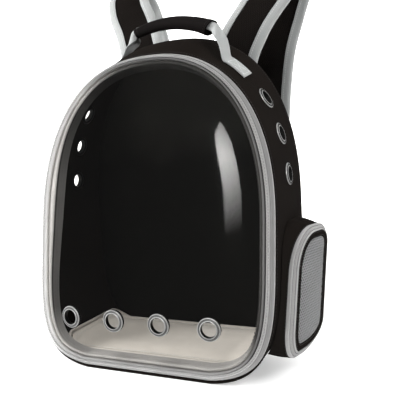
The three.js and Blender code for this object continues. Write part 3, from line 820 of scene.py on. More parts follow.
# places are shares of the band's width; beads have a height, a place and a reach
frontZip = dict(around=460, across=44, coilAt=0.58, leftDrop=2.4, leftPlain=0.75, edgeTo=0.36,
                # lines and seam are zones in the band's valleys and groove, painted dark as shade on the +X
                # side and the top, pale as painted light on the -X side
                lines=(0.3, 0.48), lineHalf=0.024, seam=(0.67, 0.8),
                beads=[(1.1, 0.17, 0.17), (0.6, 0.43, 0.08), (0.5, 0.9, 0.1)],
                toothPitch=1.75, toothLength=2.0, toothWidth=0.62)
zipLooks = ["zipTape", "zipTeeth", "zipGrooveShade", "zipEdge", "zipFold"]
zipFace = dict(across=(0, 0.3, 0.75, 1), rise=(0, 0.6, 1, 1), lift=(0, 0.9, 0.9, 0.2))
trim = dict(width=4, leftWidth=8, leftAt=215, leftReach=75, depth=10, nose=1.6, flare=0.8, seamRows=2,
            around=300)
dome = dict(thickness=1.2, bulge=32, rimDrop=1.5, centre=190, power=3, fullness=0.55, around=220, rings=34)
windowVents = dict(height=69.5, across=(-92.4, -30.6, 30.6, 92.4), clearance=1.8)


def bandAt(angle):
    # band size by the way that the edge faces
    up = outlineNormal(angle)[..., 1]
    return {key: lerp(side, np.where(up > 0, zipBand["top"][key], zipBand["base"][key]), up * up)
            for key, side in zipBand["side"].items()}


def frontPoint(angle, inset, height):
    return edgePoint(angle, False, inset) + forward * np.asarray(height)[..., None]


def pulledFlat(angle):
    # how far the -X side of the frame is drawn flat, from 0 to 1
    return np.clip(-outlineNormal(angle)[:, 0] / 0.6, 0, 1)


def zipRelief(share, plain):
    # piping at the outer edge, a bead, a channel for the coil, a seam and a folded inner edge;
    # plain is how flat the tape is drawn, from 0 to 1
    channel = 0.5 * bell(share, frontZip["coilAt"], 0.07) ** 2 + 1.1 * bell(share, 0.73, 0.045)
    return (raised(share, frontZip["beads"]) - channel) * (1 - frontZip["leftPlain"] * plain)


def zipTone(share):
    # duller tape at the outer edge; fine lines in the valleys and the seam's groove, painted dark as shade on
    # the +X side and the top and pale as painted light on the -X side; and the fold beside it
    start, end = frontZip["seam"]
    tone = np.where(share < frontZip["edgeTo"], 3, 0)
    lines = np.abs(np.subtract.outer(frontZip["lines"], share)).min(0) < frontZip["lineHalf"]
    tone = np.where(lines | (share > end), 4, tone)
    return np.where((share > start) & (share < end), 2, tone)


def addFrontZip():
    angle = evenAngles(frontZip["around"])
    share = np.linspace(0, 1, frontZip["across"])
    band = bandAt(angle)

    def face(part):
        inset, width, outer, inner = (band[key][:, None] for key in ("inset", "width", "outer", "inner"))
        rise = np.interp(part, zipFace["across"], zipFace["rise"])
        lift = np.interp(part, zipFace["across"], zipFace["lift"])
        plain = pulledFlat(angle)[:, None]
        lift = lift - frontZip["leftDrop"] * plain * np.clip(2 * part - 1, 0, 1) ** 1.5
        height = lerp(outer, inner, rise) + lift + zipRelief(part, plain)
        return frontPoint(angle[:, None], inset + part * width, height)

    feet = [frontPoint(angle, band["inset"] + part * band["width"], gap + 0 * angle) for part in (1, 0.5, 0)]
    # the inner wall takes the fold's tones, pale on the -X side as painted light and dark elsewhere as
    # painted shade
    tones = np.r_[zipTone((share[:-1] + share[1:]) / 2), 4, 0, 0, 0]
    shape = Shape()
    shape.hoop(np.concatenate([face(share), np.stack(feet, 1)], 1), tones)
    addTeeth(shape, face(frontZip["coilAt"] + coilRows), frontZip)
    shape.piece("frontZip", zipLooks, "front_zip", 50)


def rimOf(angle):
    # inset and height of the window's edge
    band = bandAt(angle)
    return band["inset"] + band["width"] + gap, band["inner"] - dome["rimDrop"]


def addTrim():
    angle = evenAngles(trim["around"])
    inset, rim = rimOf(angle)
    level = 0 * angle
    high = rim - dome["thickness"] - gap
    shoulder, foot = high - trim["nose"], level - trim["depth"]
    turn = np.linspace(0, np.pi, 9)
    nose = np.stack([0.5 - 0.5 * np.cos(turn), np.sin(turn)], -1)  # rounded front edge
    wall = np.linspace(0, 1, 12)[1:-1]
    fuller = pulledFlat(angle) * bell(outline(angle)[:, 1], trim["leftAt"], trim["leftReach"])
    width, flare = lerp(trim["width"], trim["leftWidth"], fuller), trim["flare"]
    section = [(a, shoulder + trim["nose"] * b) for a, b in nose]
    section += [(1 + flare * s, lerp(shoulder, foot, s)) for s in wall]
    section += [(1 + flare, foot), (0, foot)]
    rings = [frontPoint(angle, inset + a * width, height) for a, height in section]
    looks = np.zeros(len(rings), int)
    seamAt = len(nose) - 1
    # the nose and the seam rows below it take finishes of their own, painted light and shade by height and
    # side
    looks[:seamAt] = 1
    looks[seamAt:seamAt + trim["seamRows"]] = 2
    shape = Shape()
    shape.hoop(np.stack(rings, 1), looks)
    seam = frontPoint(angle, inset + (1 + 0.4 * flare) * width, level - 1.5)
    inwards = unit(frontPoint(angle, inset + 12, level) - frontPoint(angle, inset, level))
    sewLine(shape, seam, inwards, 0, True, 4.2)
    shape.piece("windowTrim", ["trimTape", "trimNose", "trimSeam"], "window_trim", 50)


def domePoint(angle, share, depth):
    # spot on the window by angle, share of the way out to its rim, and depth below its outer skin
    inset, rimHeight = rimOf(angle)
    rim = edgePoint(angle, False, inset)
    centre = np.array([0, frontY(dome["centre"]), dome["centre"]])
    reach = np.linalg.norm(rim - centre, axis=-1)
    swell = np.maximum(0, 1 - share ** dome["power"]) ** dome["fullness"]
    height = lerp(rimHeight, dome["bulge"], swell) - depth
    inward = share * (1 - depth / reach)
    return centre + (rim - centre) * inward[..., None] + forward * height[..., None]


def domeFrame(across, height, step=0.06):
    # spot and normal of the outer skin, by place across and height
    angle, share = np.meshgrid(np.linspace(-np.pi, 0, 721), np.linspace(0.3, 0.98, 341), indexing="ij")
    grid = domePoint(angle, share, 0.0)
    near = np.argmin((grid[..., 0] - across) ** 2 + (grid[..., 2] - height) ** 2)
    at, part = angle.flat[near], share.flat[near]
    roundwards = domePoint(at + step, part, 0.0) - domePoint(at - step, part, 0.0)
    outwards = domePoint(at, part + step, 0.0) - domePoint(at, part - step, 0.0)
    return domePoint(at, part, 0.0), unit(np.cross(outwards, roundwards))


def addWindow():
    angle = evenAngles(dome["around"])
    share = 1 - np.linspace(0, 0.985, dome["rings"]) ** 2
    outer, inner = (domePoint(angle[:, None], share[None], depth) for depth in (0.0, dome["thickness"]))
    shape = Shape()
    shape.grid(np.concatenate([outer[:, ::-1], inner], 1), True, False)
    rings = 2 * dome["rings"]
    for column in (0, rings - 1):
        shape.cap(range(column, shape.total, rings))
    window = shape.piece("window_sheet", ["clear"], "window", 60)
    places = [domeFrame(across, windowVents["height"]) for across in windowVents["across"]]
    wall, clearance = dome["thickness"], windowVents["clearance"]
    for number, place in enumerate(places, 1):
        addEyelet(f"window_grommet_{number}", wall, clearance, "grooveShadeNickel", *place)
    drill(window, places)


addFrontZip()
addTrim()
addWindow()
print("front zip, trim and window")


# Padded back and floor cushion

cushion = dict(voxel=5.0, pressure=4.0, quality=4, frames=20)


def puff(obj, cap, freedom):
    # lets cloth pressure swell a closed pad; freedom gives how freely each point may move
    remesh = obj.modifiers.new("even", "REMESH")
    remesh.mode = "VOXEL"
    remesh.voxel_size = cushion["voxel"] * mm
    settle(obj)
    count = len(obj.data.vertices)
    start = np.empty(count * 3)
    obj.data.vertices.foreach_get("co", start)
    start = start.reshape(-1, 3)
    cloth = obj.modifiers.new("puff", "CLOTH")
    cloth.settings.use_pressure = True
    cloth.settings.uniform_pressure_force = cushion["pressure"]
    cloth.settings.effector_weights.gravity = 0
    cloth.settings.quality = cushion["quality"]
    for number in range(1, cushion["frames"] + 1):
        scene.frame_set(number)
    solved = obj.evaluated_get(bpy.context.evaluated_depsgraph_get())
    ended = np.empty(count * 3)
    solved.data.vertices.foreach_get("co", ended)
    obj.modifiers.clear()
    scene.frame_set(1)
    move = ended.reshape(-1, 3) - start
    length = np.linalg.norm(move, axis=1, keepdims=True)
    limit = cap * mm * freedom(start / mm)[:, None]
    start = start + move * np.minimum(1, limit / np.maximum(length, 1e-9))
    return start / mm


def reshape(obj, points):
    # moves the points of a pad, then rounds it off
    obj.data.vertices.foreach_set("co", (points * mm).ravel())
    obj.data.update()
    smooth = obj.modifiers.new("round", "SUBSURF")
    smooth.levels = smooth.render_levels = 1
    settle(obj)


backPad = dict(around=160, inner=68.0, outer=86.0, bevel=12.0, tuck=1.2, start=3.0, cap=4.5,
               freeHalf=150, freeMiddle=205, channels=(-46, 46), channelHalf=7.0, channelDip=3.2,
               channelLow=55, channelHigh=345, channelFade=25)


def addBackPanel():
    angle = evenAngles(backPad["around"])
    inner, outer, rear = backPad["inner"], backPad["outer"], body["depth"] / 2
    fitted = body["wall"] + gap
    tucked = fitted - backPad["tuck"]
    rows = [(inner + 1, fitted + 3), (inner + 3, tucked), (rear, tucked), (outer - 4, fitted + 6),
            (outer - backPad["start"], fitted + backPad["bevel"])]
    rings = []
    for y, inset in rows:
        ring = ringPoint(angle, np.full_like(angle, min(y, rear)), np.full_like(angle, inset))
        ring[:, 1] = y
        rings.append(ring)
    shape = Shape()
    shape.tube(np.stack(rings))
    pad = shape.piece("backPad", ["padMesh", "lining"], "back_panel")

    def freedom(points):
        # free over the padded side, held near the edge and on the flat inner face
        x, y, z = points.T
        fromMiddle = (x / backPad["freeHalf"]) ** 4 + (z / backPad["freeMiddle"] - 1) ** 4
        return np.where(y > rear - 2, np.clip(1.25 - fromMiddle, 0.1, 1), 0.25)

    x, y, z = puff(pad, backPad["cap"], freedom).T
    low, high, fade = (backPad[key] for key in ("channelLow", "channelHigh", "channelFade"))
    span = np.clip((z - low) / fade, 0, 1) * np.clip((high - z) / fade, 0, 1)
    dips = sum(bell(x, at, backPad["channelHalf"]) for at in backPad["channels"]) * span
    sewn = np.minimum(y, outer - 0.3) - backPad["channelDip"] * dips
    y = np.where(y > rear, sewn, np.maximum(y, inner))
    reshape(pad, np.stack([x, y, z], -1))
    faces = pad.data.polygons
    faces.foreach_set("material_index", [1 if face.normal.y < -0.5 else 0 for face in faces])
    pad.data.shade_smooth()


floorPad = dict(front=-64.0, rear=67.7, top=20.0, edge=7.0, half=132.4, corner=18.0, start=1.6, cap=3.2,
                held=30, cord=2.3, cordIn=2.2, seamIn=9.0, seamDip=1.1, seamHalf=2.6)


def baseInside(x):
    # height of the inside of the base at a place across it
    half = (body["halfWidth"] - body["wall"]) * body["backNarrowing"] - 1
    part = np.minimum(1, np.abs(x) / half)
    curve = 1 - (1 - part ** body["basePower"]) ** (1 / body["basePower"])
    return body["wall"] + gap + body["widestAt"] * curve * body["backHeight"] / body["frontHeight"]


def padTop(x):
    return np.maximum(floorPad["top"], baseInside(x) + floorPad["edge"])


def padMargin(x, y):
    # distance in from the nearest edge of the cushion's plan
    return np.minimum(floorPad["half"] - np.abs(x), np.minimum(y - floorPad["front"], floorPad["rear"] - y))


def padPlan(inset, perCorner=10, perEdge=26):
    # rounded plan of the cushion, anticlockwise from above
    left, right = -floorPad["half"] + inset, floorPad["half"] - inset
    front, rear = floorPad["front"] + inset, floorPad["rear"] - inset
    radius = floorPad["corner"] - inset
    corners = [(right, front, -1, 1, -90), (right, rear, -1, -1, 0), (left, rear, 1, -1, 90),
               (left, front, 1, 1, 180)]
    arcs = []
    for x, y, inX, inY, start in corners:
        turn = np.radians(start + np.linspace(0, 90, perCorner))
        middle = np.array([x + inX * radius, y + inY * radius])
        arcs.append(middle + radius * np.stack([np.cos(turn), np.sin(turn)], -1))
    return joinArcs(arcs, perEdge)


def addFloorPad():
    start = floorPad["start"]
    plan = padPlan(start)
    centre = np.array([0.0, (floorPad["front"] + floorPad["rear"]) / 2])
    discs = [lerp(centre, plan, share) for share in (0.25, 0.5, 0.75, 0.9, 1.0)]
    rings = [np.c_[spots, padTop(spots[:, 0]) - start] for spots in discs]
    rings += [np.c_[spots, baseInside(spots[:, 0]) + 0.4] for spots in discs[::-1]]
    shape = Shape()
    shape.tube(np.stack(rings))
    pad = shape.piece("floorCushion", ["plush"], "floor_pad")

    def freedom(points):
        return np.clip(padMargin(points[:, 0], points[:, 1]) / floorPad["held"], 0.15, 1)

    x, y, z = puff(pad, floorPad["cap"], freedom).T
    onTop = z > baseInside(x) + 4
    sewn = z - floorPad["seamDip"] * bell(padMargin(x, y), floorPad["seamIn"], floorPad["seamHalf"])
    z = np.where(onTop, sewn, np.maximum(z, baseInside(x) + 0.2))
    reshape(pad, np.stack([x, y, z], -1))
    trimmings = Shape()
    cord = padPlan(floorPad["cordIn"], 14, 40)
    for height, size in ((padTop(cord[:, 0]) - 2.4, 1.0), (baseInside(cord[:, 0]) + 2.4, 0.8)):
        path = np.c_[cord, height]
        _, across, through = framesAlong(path, (0, 0, 1), True)
        trimmings.hoop(sweep(path, across, through, roundRing(10) * floorPad["cord"] * size))
    seam = padPlan(floorPad["seamIn"], 14, 40)
    line = np.c_[seam, padTop(seam[:, 0]) - 1.4]
    upwards = np.broadcast_to((0.0, 0, 1), line.shape)
    sewLine(trimmings, line, upwards, closed=True, pitch=4.5, length=3.2, radius=0.4)
    trimmings.piece("floorCushionPiping", ["piping", "paleThread"], "floor_pad")


addBackPanel()
print("back panel")
addFloorPad()
print("floor cushion")


# Handle

handle = dict(y=45.0, left=(-56.0, 430.5), crown=(1.5, 448.5), right=(59.0, 421.5), rows=70, sides=28,
              radius=8.0, taper=(0.84, 1.28), flare=0.08, slant=8.0, folds=0.035, foldSize=16.0, pinch=0.04,
              pinchAt=0.94, pinchReach=0.025)
handleTape = dict(half=15.0, thickness=2.0, thinEdge=0.55, rows=100, columns=17)
# front and rear are the tape's edges where it is sewn on; the lines are those edges' free stretch,
# out, back and up, from inside the grip down to the body
handleTapeEnd = dict(
    right=dict(front=-0.5, rear=29.5, landing=86.5, sewnEnd=112.0, rolled=7.4, mouth=0.15,
               frontLine=[(46, 38, 427), (52, 38, 424.8), (59.8, 38, 421), (66.5, 29.5, 413),
                          (75.5, 17, 398.5), (82, 6, 386)],
               rearLine=[(46, 52, 427), (52, 52, 424.8), (59.8, 52, 421), (67.5, 49, 417.5), (76, 43, 408),
                         (82.2, 36, 397)]),
    left=dict(front=12.0, rear=42.0, landing=71.0, sewnEnd=97.0, rolled=4.8, mouth=0.12,
              frontLine=[(49, 38, 434), (57, 38, 430), (61, 35, 421), (63.5, 28, 408), (66.5, 20, 396)],
              rearLine=[(49, 52, 434), (57, 52, 430), (60.5, 52, 424), (62.5, 50, 415), (66, 46, 406)]),
)


def addHandle():
    share = np.linspace(0, 1, handle["rows"])[:, None]
    left, crown, right = (np.array([handle[key][0], handle["y"], handle[key][1]])
                          for key in ("left", "crown", "right"))
    path = (1 - share) ** 2 * left + 2 * share * (1 - share) * crown + share ** 2 * right
    along, across, through = framesAlong(path, (0, 1, 0))
    if through[len(path) // 2, 2] < 0:
        through = -through
    tube = sweep(path, across, np.cross(along, across), roundRing(handle["sides"]) * handle["radius"])
    folds = ripple(tube * np.array([1, 2.2, 2.2]), handle["foldSize"], 7.0)
    fromMiddle = np.abs(2 * share - 1)
    gape = handle["flare"] * np.clip(share / 0.3 - 2.3, 0, 1) ** 2  # the +X end opens
    swell = lerp(*handle["taper"], share) + gape + handle["folds"] * folds * (0.4 + fromMiddle ** 3)
    cuffs = bell(fromMiddle, handle["pinchAt"], handle["pinchReach"])  # drawn in by their stitches
    swell = swell - handle["pinch"] * cuffs
    tube = path[:, None] + (tube - path[:, None]) * swell[..., None]
    slant = handle["slant"] * np.clip(share / 0.2 - 4, 0, 1) ** 1.5  # cut back below and in front
    facing = unit(tube - path[:, None]) @ np.array([0, -0.6, -0.8])
    tube = tube - along[:, None] * (slant * (0.5 + 0.5 * facing))[..., None]
    spokes = tube - path[:, None]
    lips = []
    for at, inward in ((0, 1), (-1, -1)):
        deep = path[at] + inward * along[at] * 5
        lips.append(np.stack([path[at] + spokes[at] * 0.88, deep + spokes[at] * 0.86]))
    shape = Shape()
    shape.tube(np.concatenate([lips[0][::-1], tube, lips[1]]))
    under = path - through * handle["radius"] * 0.95
    sewLine(shape, under[3:-3], -through[3:-3], pitch=4.0)
    for at in (3, -4):
        cuff = path[at] + spokes[at] * 1.01
        sewLine(shape, cuff, unit(spokes[at]), closed=True, pitch=3.4, length=2.3, radius=0.22)
    shape.piece("handleGrip", ["grip", "blackThread"], "handle_grip", 50)


def tapeThickness(tape):
    # half thickness across a tape, less at both edges
    thick = np.full(tape["columns"], tape["thickness"] / 2)
    thick[[0, -1]] *= tape["thinEdge"]
    return thick


def addHandleTape(side, word):
    half, count, columns = handleTape["half"], handleTape["rows"], handleTape["columns"]
    stand = handleTape["thickness"] / 2 + 2 * gap
    end = handleTapeEnd[word]
    where = np.linspace(end["landing"], end["sewnEnd"], 9)
    middleY = (end["front"] + end["rear"]) / 2
    at = angleWhere(lambda guess: -ringPoint(guess, middleY, 0)[..., 0], -where)
    edges = []
    for key in ("front", "rear"):
        landed = ringPoint(at, np.full_like(at, end[key]), np.full_like(at, -stand))
        edges.append(smoothLine(np.concatenate([np.array(end[key + "Line"], float), landed]), count))
    near, far = edges
    middle = (near + far) / 2
    across = unit(far - near)
    through = unit(np.cross(across, headings(middle)))
    if through[0, 2] < 0:
        through = -through
    # rolled inside the grip, flat where it is sewn down
    reach = np.linspace(0, 1, count)
    closed = np.clip(1 - (reach - end["mouth"]) / 0.26, 0, 1)
    roll = closed ** 1.3 / end["rolled"]
    offsets = np.linspace(-half, half, columns)
    bend = np.maximum(roll, 1e-4)[:, None]
    u = np.sin(bend * offsets) / bend
    drop = (1 - np.cos(bend * offsets)) / bend
    centre = np.where(roll > 1e-4, end["rolled"], 0) * closed
    surface = middle[:, None] + across[:, None] * u[..., None]
    surface = surface + through[:, None] * (centre[:, None] - drop)[..., None]
    straight = np.clip((reach - 0.3) / 0.2, 0, 1)[:, None, None]
    flat = lerp(near[:, None], far[:, None], ((offsets + half) / (2 * half))[:, None])
    surface = lerp(surface, flat, straight)
    normal = unit(np.cross(np.gradient(surface, axis=0), np.gradient(surface, axis=1)))
    if (normal[-10, columns // 2] * through[-10]).sum() < 0:
        normal = -normal
    thick = tapeThickness(handleTape)[:, None]
    upper, lower = surface + normal * thick, surface - normal * thick
    shape = Shape()
    shape.tube(mirrorX(np.concatenate([upper, lower[:, ::-1]], 1), side))
    boxStitch(shape, mirrorX(upper, side), mirrorX(normal, side), (74, 96), (2, 14), 24)
    name = f"handle_webbing_{word}"
    shape.piece(name + "_tape", ["paleTape", "paleThread"], name, 45)


addHandle()
for side, word in bothSides:
    addHandleTape(side, word)
print("handle")


# Shoulder straps

# the strap thins towards both ends; its tab has a half width and half thickness, and places past the end
strap = dict(bodyHalf=21.7, thickness=11.0, edge=9.0, length=560, rows=150, softness=0.35, endWidth=0.62,
             endTaper=22, endDepth=0.45, seamThinning=26, endThinning=16, tab=(12.5, 1.5),
             tabPlaces=(-12, 0, 4.5, 8))
# out, back and up, from the seam on the back to the lower end
strapLine = [(65, 92.4, 362), (68, 92.6, 388), (81, 102, 422), (99, 120.5, 458), (119, 138, 490),
             (129, 155, 514), (132, 172.5, 519), (127.5, 184.5, 503.5), (114, 183, 460), (100.5, 175.5, 410),
             (94, 168, 356), (91.2, 158, 300), (87, 145, 250)]
# section of the binding folded over a strap's edge: out from the middle, and up
strapFold = np.array([(21.5, 5.2), (24, 5.3), (27.5, 5.1), (31, 4.4), (33.3, 3.0), (34.5, 1.2),
                      (34.5, -1.2), (33.3, -3.0), (31, -4.4), (27.5, -5.1), (24, -5.3), (21.5, -5.2),
                      (21.7, -3.8), (22.6, 0), (21.7, 3.8)])
# rungs have a place along the buckle, a half width and a share of the thickness
adjuster = dict(half=18.0, thickness=6.0, rail=2.4,
                rungs=[(2.2, 2.2, 1), (12.0, 1.8, 0.75), (17.0, 1.6, 0.7)])
adjusterLine = [(86.9, 144.8, 249.4), (85.2, 138.6, 225.0)]
strapTape = dict(half=12.5, thickness=2.0, thinEdge=0.55, rows=110, columns=15)
strapTapeLine = [(86.2, 142.2, 239), (85.2, 138.4, 224.4), (84.4, 135.3, 212), (87, 127.5, 178),
                 (93, 116, 138), (100, 103.5, 98), (106, 92.5, 66), (108, 87.6, 50), (108, 87.5, 34)]


def addStrap(side, word):
    path = smoothLine(strapLine, strap["rows"])
    along, across, through = framesAlong(path, (1, 0, 0))
    reach = np.linspace(0, 1, strap["rows"])
    fromSeam, toEnd = reach * strap["length"], (1 - reach) * strap["length"]
    narrow = lerp(strap["endWidth"], 1.0, np.clip(toEnd / strap["endTaper"], 0, 1) ** 0.5)[:, None]
    full = np.minimum(fromSeam / strap["seamThinning"], toEnd / strap["endThinning"])
    flatten = lerp(strap["endDepth"], 1.0, np.clip(full, 0, 1) ** 0.7)[:, None]
    ring = roundRing(40, 5.0)
    u = ring[:, 0] * (strap["bodyHalf"] + 0.9)
    crown = 0.5 + 0.5 * np.cos(np.pi * np.clip(np.abs(u) / strap["bodyHalf"], 0, 1))
    v = ring[:, 1] * (strap["edge"] / 2 - 0.3 + (strap["thickness"] - strap["edge"]) / 2 * (0.4 + crown))
    pad = sweep(path, across, through, np.stack([u * narrow, v * flatten], -1))
    soft = strap["softness"] * ripple(pad, 24.0, 11.0) * np.sign(ring[:, 1])
    pad = pad + through[:, None] * soft[..., None]
    shape = Shape()
    shape.tube(mirrorX(pad, side))
    tab = path[-1] + along[-1] * np.array(strap["tabPlaces"])[:, None]
    _, tabAcross, tabThrough = framesAlong(tab, (1, 0, 0))
    shape.tube(mirrorX(sweep(tab, tabAcross, tabThrough, roundRing(20, 5.0) * strap["tab"]), side), 1)
    name = f"shoulder_strap_{word}"
    padded = shape.piece(name + "_pad", ["strapMesh", "blackTape"], name, 45)
    for hand, edge in ((1, "outer"), (-1, "inner")):
        pucker = 1 + 0.03 * ripple(path, 6.0, 20.0 + hand)[:, None]
        tape = np.stack([strapFold[:, 0] * hand * narrow, strapFold[:, 1] * flatten * pucker], -1)
        rows = sweep(path, across, through, tape)
        shape = Shape()
        shape.tube(mirrorX(rows, side))
        for corner, facing in ((1, 1), (10, -1)):
            seam = mirrorX(lerp(rows[:, corner], rows[:, corner + facing], 0.25), side)
            normals = mirrorX(through * facing, side)
            sewLine(shape, seam[2:-2], normals[2:-2], pitch=3.6, length=2.6, radius=0.34)
        name = f"strap_binding_{word}_{edge}"
        shape.piece(name + "_tape", ["paleTape", "paleThread"], name, 60)


def bar(shape, start, end, across, through, half, thick):
    # rounded bar between two points
    share = np.array([0, 0.02, 0.08, 0.92, 0.98, 1])[:, None]
    full = np.array([0.7, 0.9, 1, 1, 0.9, 0.7])
    path = lerp(start, end, share)
    section = roundRing(14, 4.0)[None] * np.array([half, thick]) * full[:, None, None]
    shape.tube(sweep(path, *(np.broadcast_to(axis, path.shape) for axis in (across, through)), section))


def addAdjuster(side, word):
    top, foot = (np.array(spot) for spot in adjusterLine)
    along = unit(foot - top)
    across = unit(np.array([1, 0, 0]) - along * along[0])
    through = np.cross(along, across)
    length = np.linalg.norm(foot - top)
    half, thick, rail = adjuster["half"], adjuster["thickness"] / 2, adjuster["rail"]
    shape = Shape()
    for hand in (-1, 1):
        start = top + across * hand * (half - rail)
        bar(shape, start, start + along * length, across, through, rail, thick)
    for place, wide, share in adjuster["rungs"] + [(length - rail, rail, 1)]:
        middle, reach = top + along * place, across * (half - 2)
        bar(shape, middle - reach, middle + reach, along, through, wide, thick * share)
    name = f"strap_adjuster_{word}"
    shape.piece(name + "_buckle", ["plastic"], name, 50, side=side)


def addStrapTape(side, word):
    path = smoothLine(strapTapeLine, strapTape["rows"])
    _, across, through = framesAlong(path, (1, 0, 0))
    if through[-1, 1] < 0:
        through = -through
    offsets = np.linspace(-strapTape["half"], strapTape["half"], strapTape["columns"])
    thick = tapeThickness(strapTape)
    section = np.concatenate([np.c_[offsets, thick], np.c_[offsets[::-1], -thick[::-1]]])
    rows = sweep(path, across, through, section)
    shape = Shape()
    shape.tube(rows)
    boxStitch(shape, rows, np.broadcast_to(through[:, None], rows.shape), (96, 108), (2, 12), 20)
    name = f"strap_webbing_{word}"
    shape.piece(name + "_tape", ["blackTape", "blackThread"], name, 45, side=side)


for side, word in bothSides:
    addStrap(side, word)
    addAdjuster(side, word)
    addStrapTape(side, word)
print("shoulder straps")


# Side pockets

pocket = dict(lean=math.radians(10.5), seat=0.6, wall=2.0, bevel=7.5, zipWidth=7.5, zipCrown=0.6,
              edgeDepth=2.5, borderWidth=7.2, panel=1.8, crown=1.2, leastCorner=8.0, swell=0.8,
              swellSize=30.0)
# corners are along and up: low front, low rear, high rear, high front
pocketFace = dict(front=-36.0, frontOut=173.0, rear=47.5, rearOut=195.5, low=22.0, high=169.5,
                  rounding=[(20, 34), (50, 32), (25, 26), (44, 48)])
pocketFoot = dict(front=-44.0, rear=52.5, low=26.0, high=177.0,
                  rounding=[(22, 36), (48, 38), (22, 24), (36, 40)])
# grooves have a depth, a place, a reach and the half width of their line of painted groove shade
pocketZip = dict(across=34, coilAt=0.5, beads=[(0.8, 0.13, 0.13), (0.5, 0.87, 0.1)],
                 grooves=[(0.8, 0.29, 0.03, 0.035), (0.7, 0.72, 0.035, 0.04)], toothPitch=1.75,
                 toothLength=2.6, toothWidth=0.6)
netting = dict(pitch=3.5, hole=0.64, overrun=1.03, trimmed=0.995, leastFace=0.03)


def pocketOutline(form, inset, cornerSteps=14, edgeSteps=12):
    # places along the depth and heights, leaning back
    front, rear = form["front"] + inset, form["rear"] - inset
    low, high = form["low"] + inset, form["high"] - inset
    corners = [(front, low, 1, 1), (rear, low, -1, 1), (rear, high, -1, -1), (front, high, 1, -1)]
    arcs = []
    for k, (y, z, inY, inZ) in enumerate(corners):
        along, up = (max(pocket["leastCorner"], size - inset) for size in form["rounding"][k])
        share = np.linspace(0, 1, cornerSteps + 1)
        turn = (share if k % 2 else 1 - share) * np.pi / 2
        arcs.append(np.stack([y + inY * along * (1 - np.sin(turn)), z + inZ * up * (1 - np.cos(turn))], -1))
    ring = joinArcs(arcs, edgeSteps)
    ring[:, 0] += math.tan(pocket["lean"]) * (ring[:, 1] - (form["low"] + form["high"]) / 2)
    return ring


def pocketFaceX(y):
    share = (y - pocketFace["front"]) / (pocketFace["rear"] - pocketFace["front"])
    return lerp(pocketFace["frontOut"], pocketFace["rearOut"], share)


def onFace(inset, height):
    ring = pocketOutline(pocketFace, inset)
    return np.c_[pocketFaceX(ring[:, 0]) + height, ring]


def onBody(inset):
    ring = pocketOutline(pocketFoot, inset)
    return np.c_[bodySideX(ring[:, 0], ring[:, 1]) + pocket["seat"], ring]


def pocketNormal(ring):
    # outwards in the plane of the pocket's outline
    normal = unit(np.cross(headings(ring, True), (1.0, 0, 0)))
    return normal if ((ring - ring.mean(0)) * normal).sum() > 0 else -normal


def addPocketWall(side, word):
    top, wall = -pocket["bevel"], pocket["wall"]
    share = np.linspace(0, 1, 10)
    foot, rim = onBody(0), onFace(0, top)
    rings = [lerp(foot, rim, s) for s in share]
    for k, s in enumerate(share[1:-1], 1):
        soft = pocket["swell"] + pocket["swell"] * ripple(rings[k], pocket["swellSize"], 5.0)
        rings[k] = rings[k] + pocketNormal(rings[k]) * (math.sin(math.pi * s) * soft)[:, None]
    inside = [lerp(onBody(wall), onFace(wall, top), s) for s in share[::-3]]
    shape = Shape()
    shape.hoop(np.stack(rings + inside))
    seam = lerp(rings[-1], rings[-2], 0.35)
    sewLine(shape, seam, pocketNormal(seam), closed=True)
    name = f"pocket_wall_{word}"
    shape.piece(name + "_cloth", ["blackFabric", "blackThread"], name, 50, side=side)


def addPocketZip(side, word):
    foot = gap - pocket["bevel"]
    low, high, width = foot + pocket["edgeDepth"], pocket["zipCrown"], pocket["zipWidth"]
    across = np.linspace(0, 1, pocketZip["across"])
    grooves = pocketZip["grooves"]

    def zipRing(part):
        relief = raised(part, pocketZip["beads"])
        relief -= sum(depth * bell(part, at, reach) for depth, at, reach, _ in grooves)
        relief -= 0.6 * bell(part, pocketZip["coilAt"], 0.1) ** 2
        tilt = (high - low) / width
        return onFace(width * part - relief * tilt * 0.6, lerp(low, high, part) + relief)

    band = [zipRing(part) for part in across]
    under = [onFace(width, -pocket["edgeDepth"]), onFace(1.5 * pocket["wall"], foot), onFace(0, foot)]
    middles = (across[:-1] + across[1:]) / 2
    # painted shade: the strips in the grooves take the darker tape
    shadedGrooves = np.any([np.abs(middles - at) < half for _, at, _, half in grooves], 0)
    shape = Shape()
    shape.hoop(np.stack(band + under), np.r_[np.where(shadedGrooves, 2, 0), 0, 0, 0, 0][:, None])
    coil = np.stack([zipRing(part) for part in pocketZip["coilAt"] + coilRows], 1)
    addTeeth(shape, coil, pocketZip)
    name = f"pocket_zip_{word}"
    shape.piece(name + "_band", ["pocketTape", "zipTeeth", "pocketGrooveShade"], name, 50, side=side)


def addPocketBorder(side, word):
    start, width, depth = pocket["zipWidth"] + gap, pocket["borderWidth"], pocket["edgeDepth"]
    rings = [onFace(start + width * (0.5 - 0.5 * math.cos(turn)), gap - 0.4 + 1.1 * math.sin(turn))
             for turn in np.linspace(0, np.pi, 12)]
    rings += [onFace(start + width, -depth), onFace(start, -depth)]
    shape = Shape()
    shape.hoop(np.stack(rings))
    for at in (3, 8):
        outwards = np.broadcast_to((1.0, 0, 0), rings[at].shape)
        sewLine(shape, rings[at], outwards, closed=True, pitch=3.4, length=2.4, radius=0.3)
    name = f"pocket_border_{word}"
    shape.piece(name + "_binding", ["blackFabric", "blackThread"], name, 50, side=side)


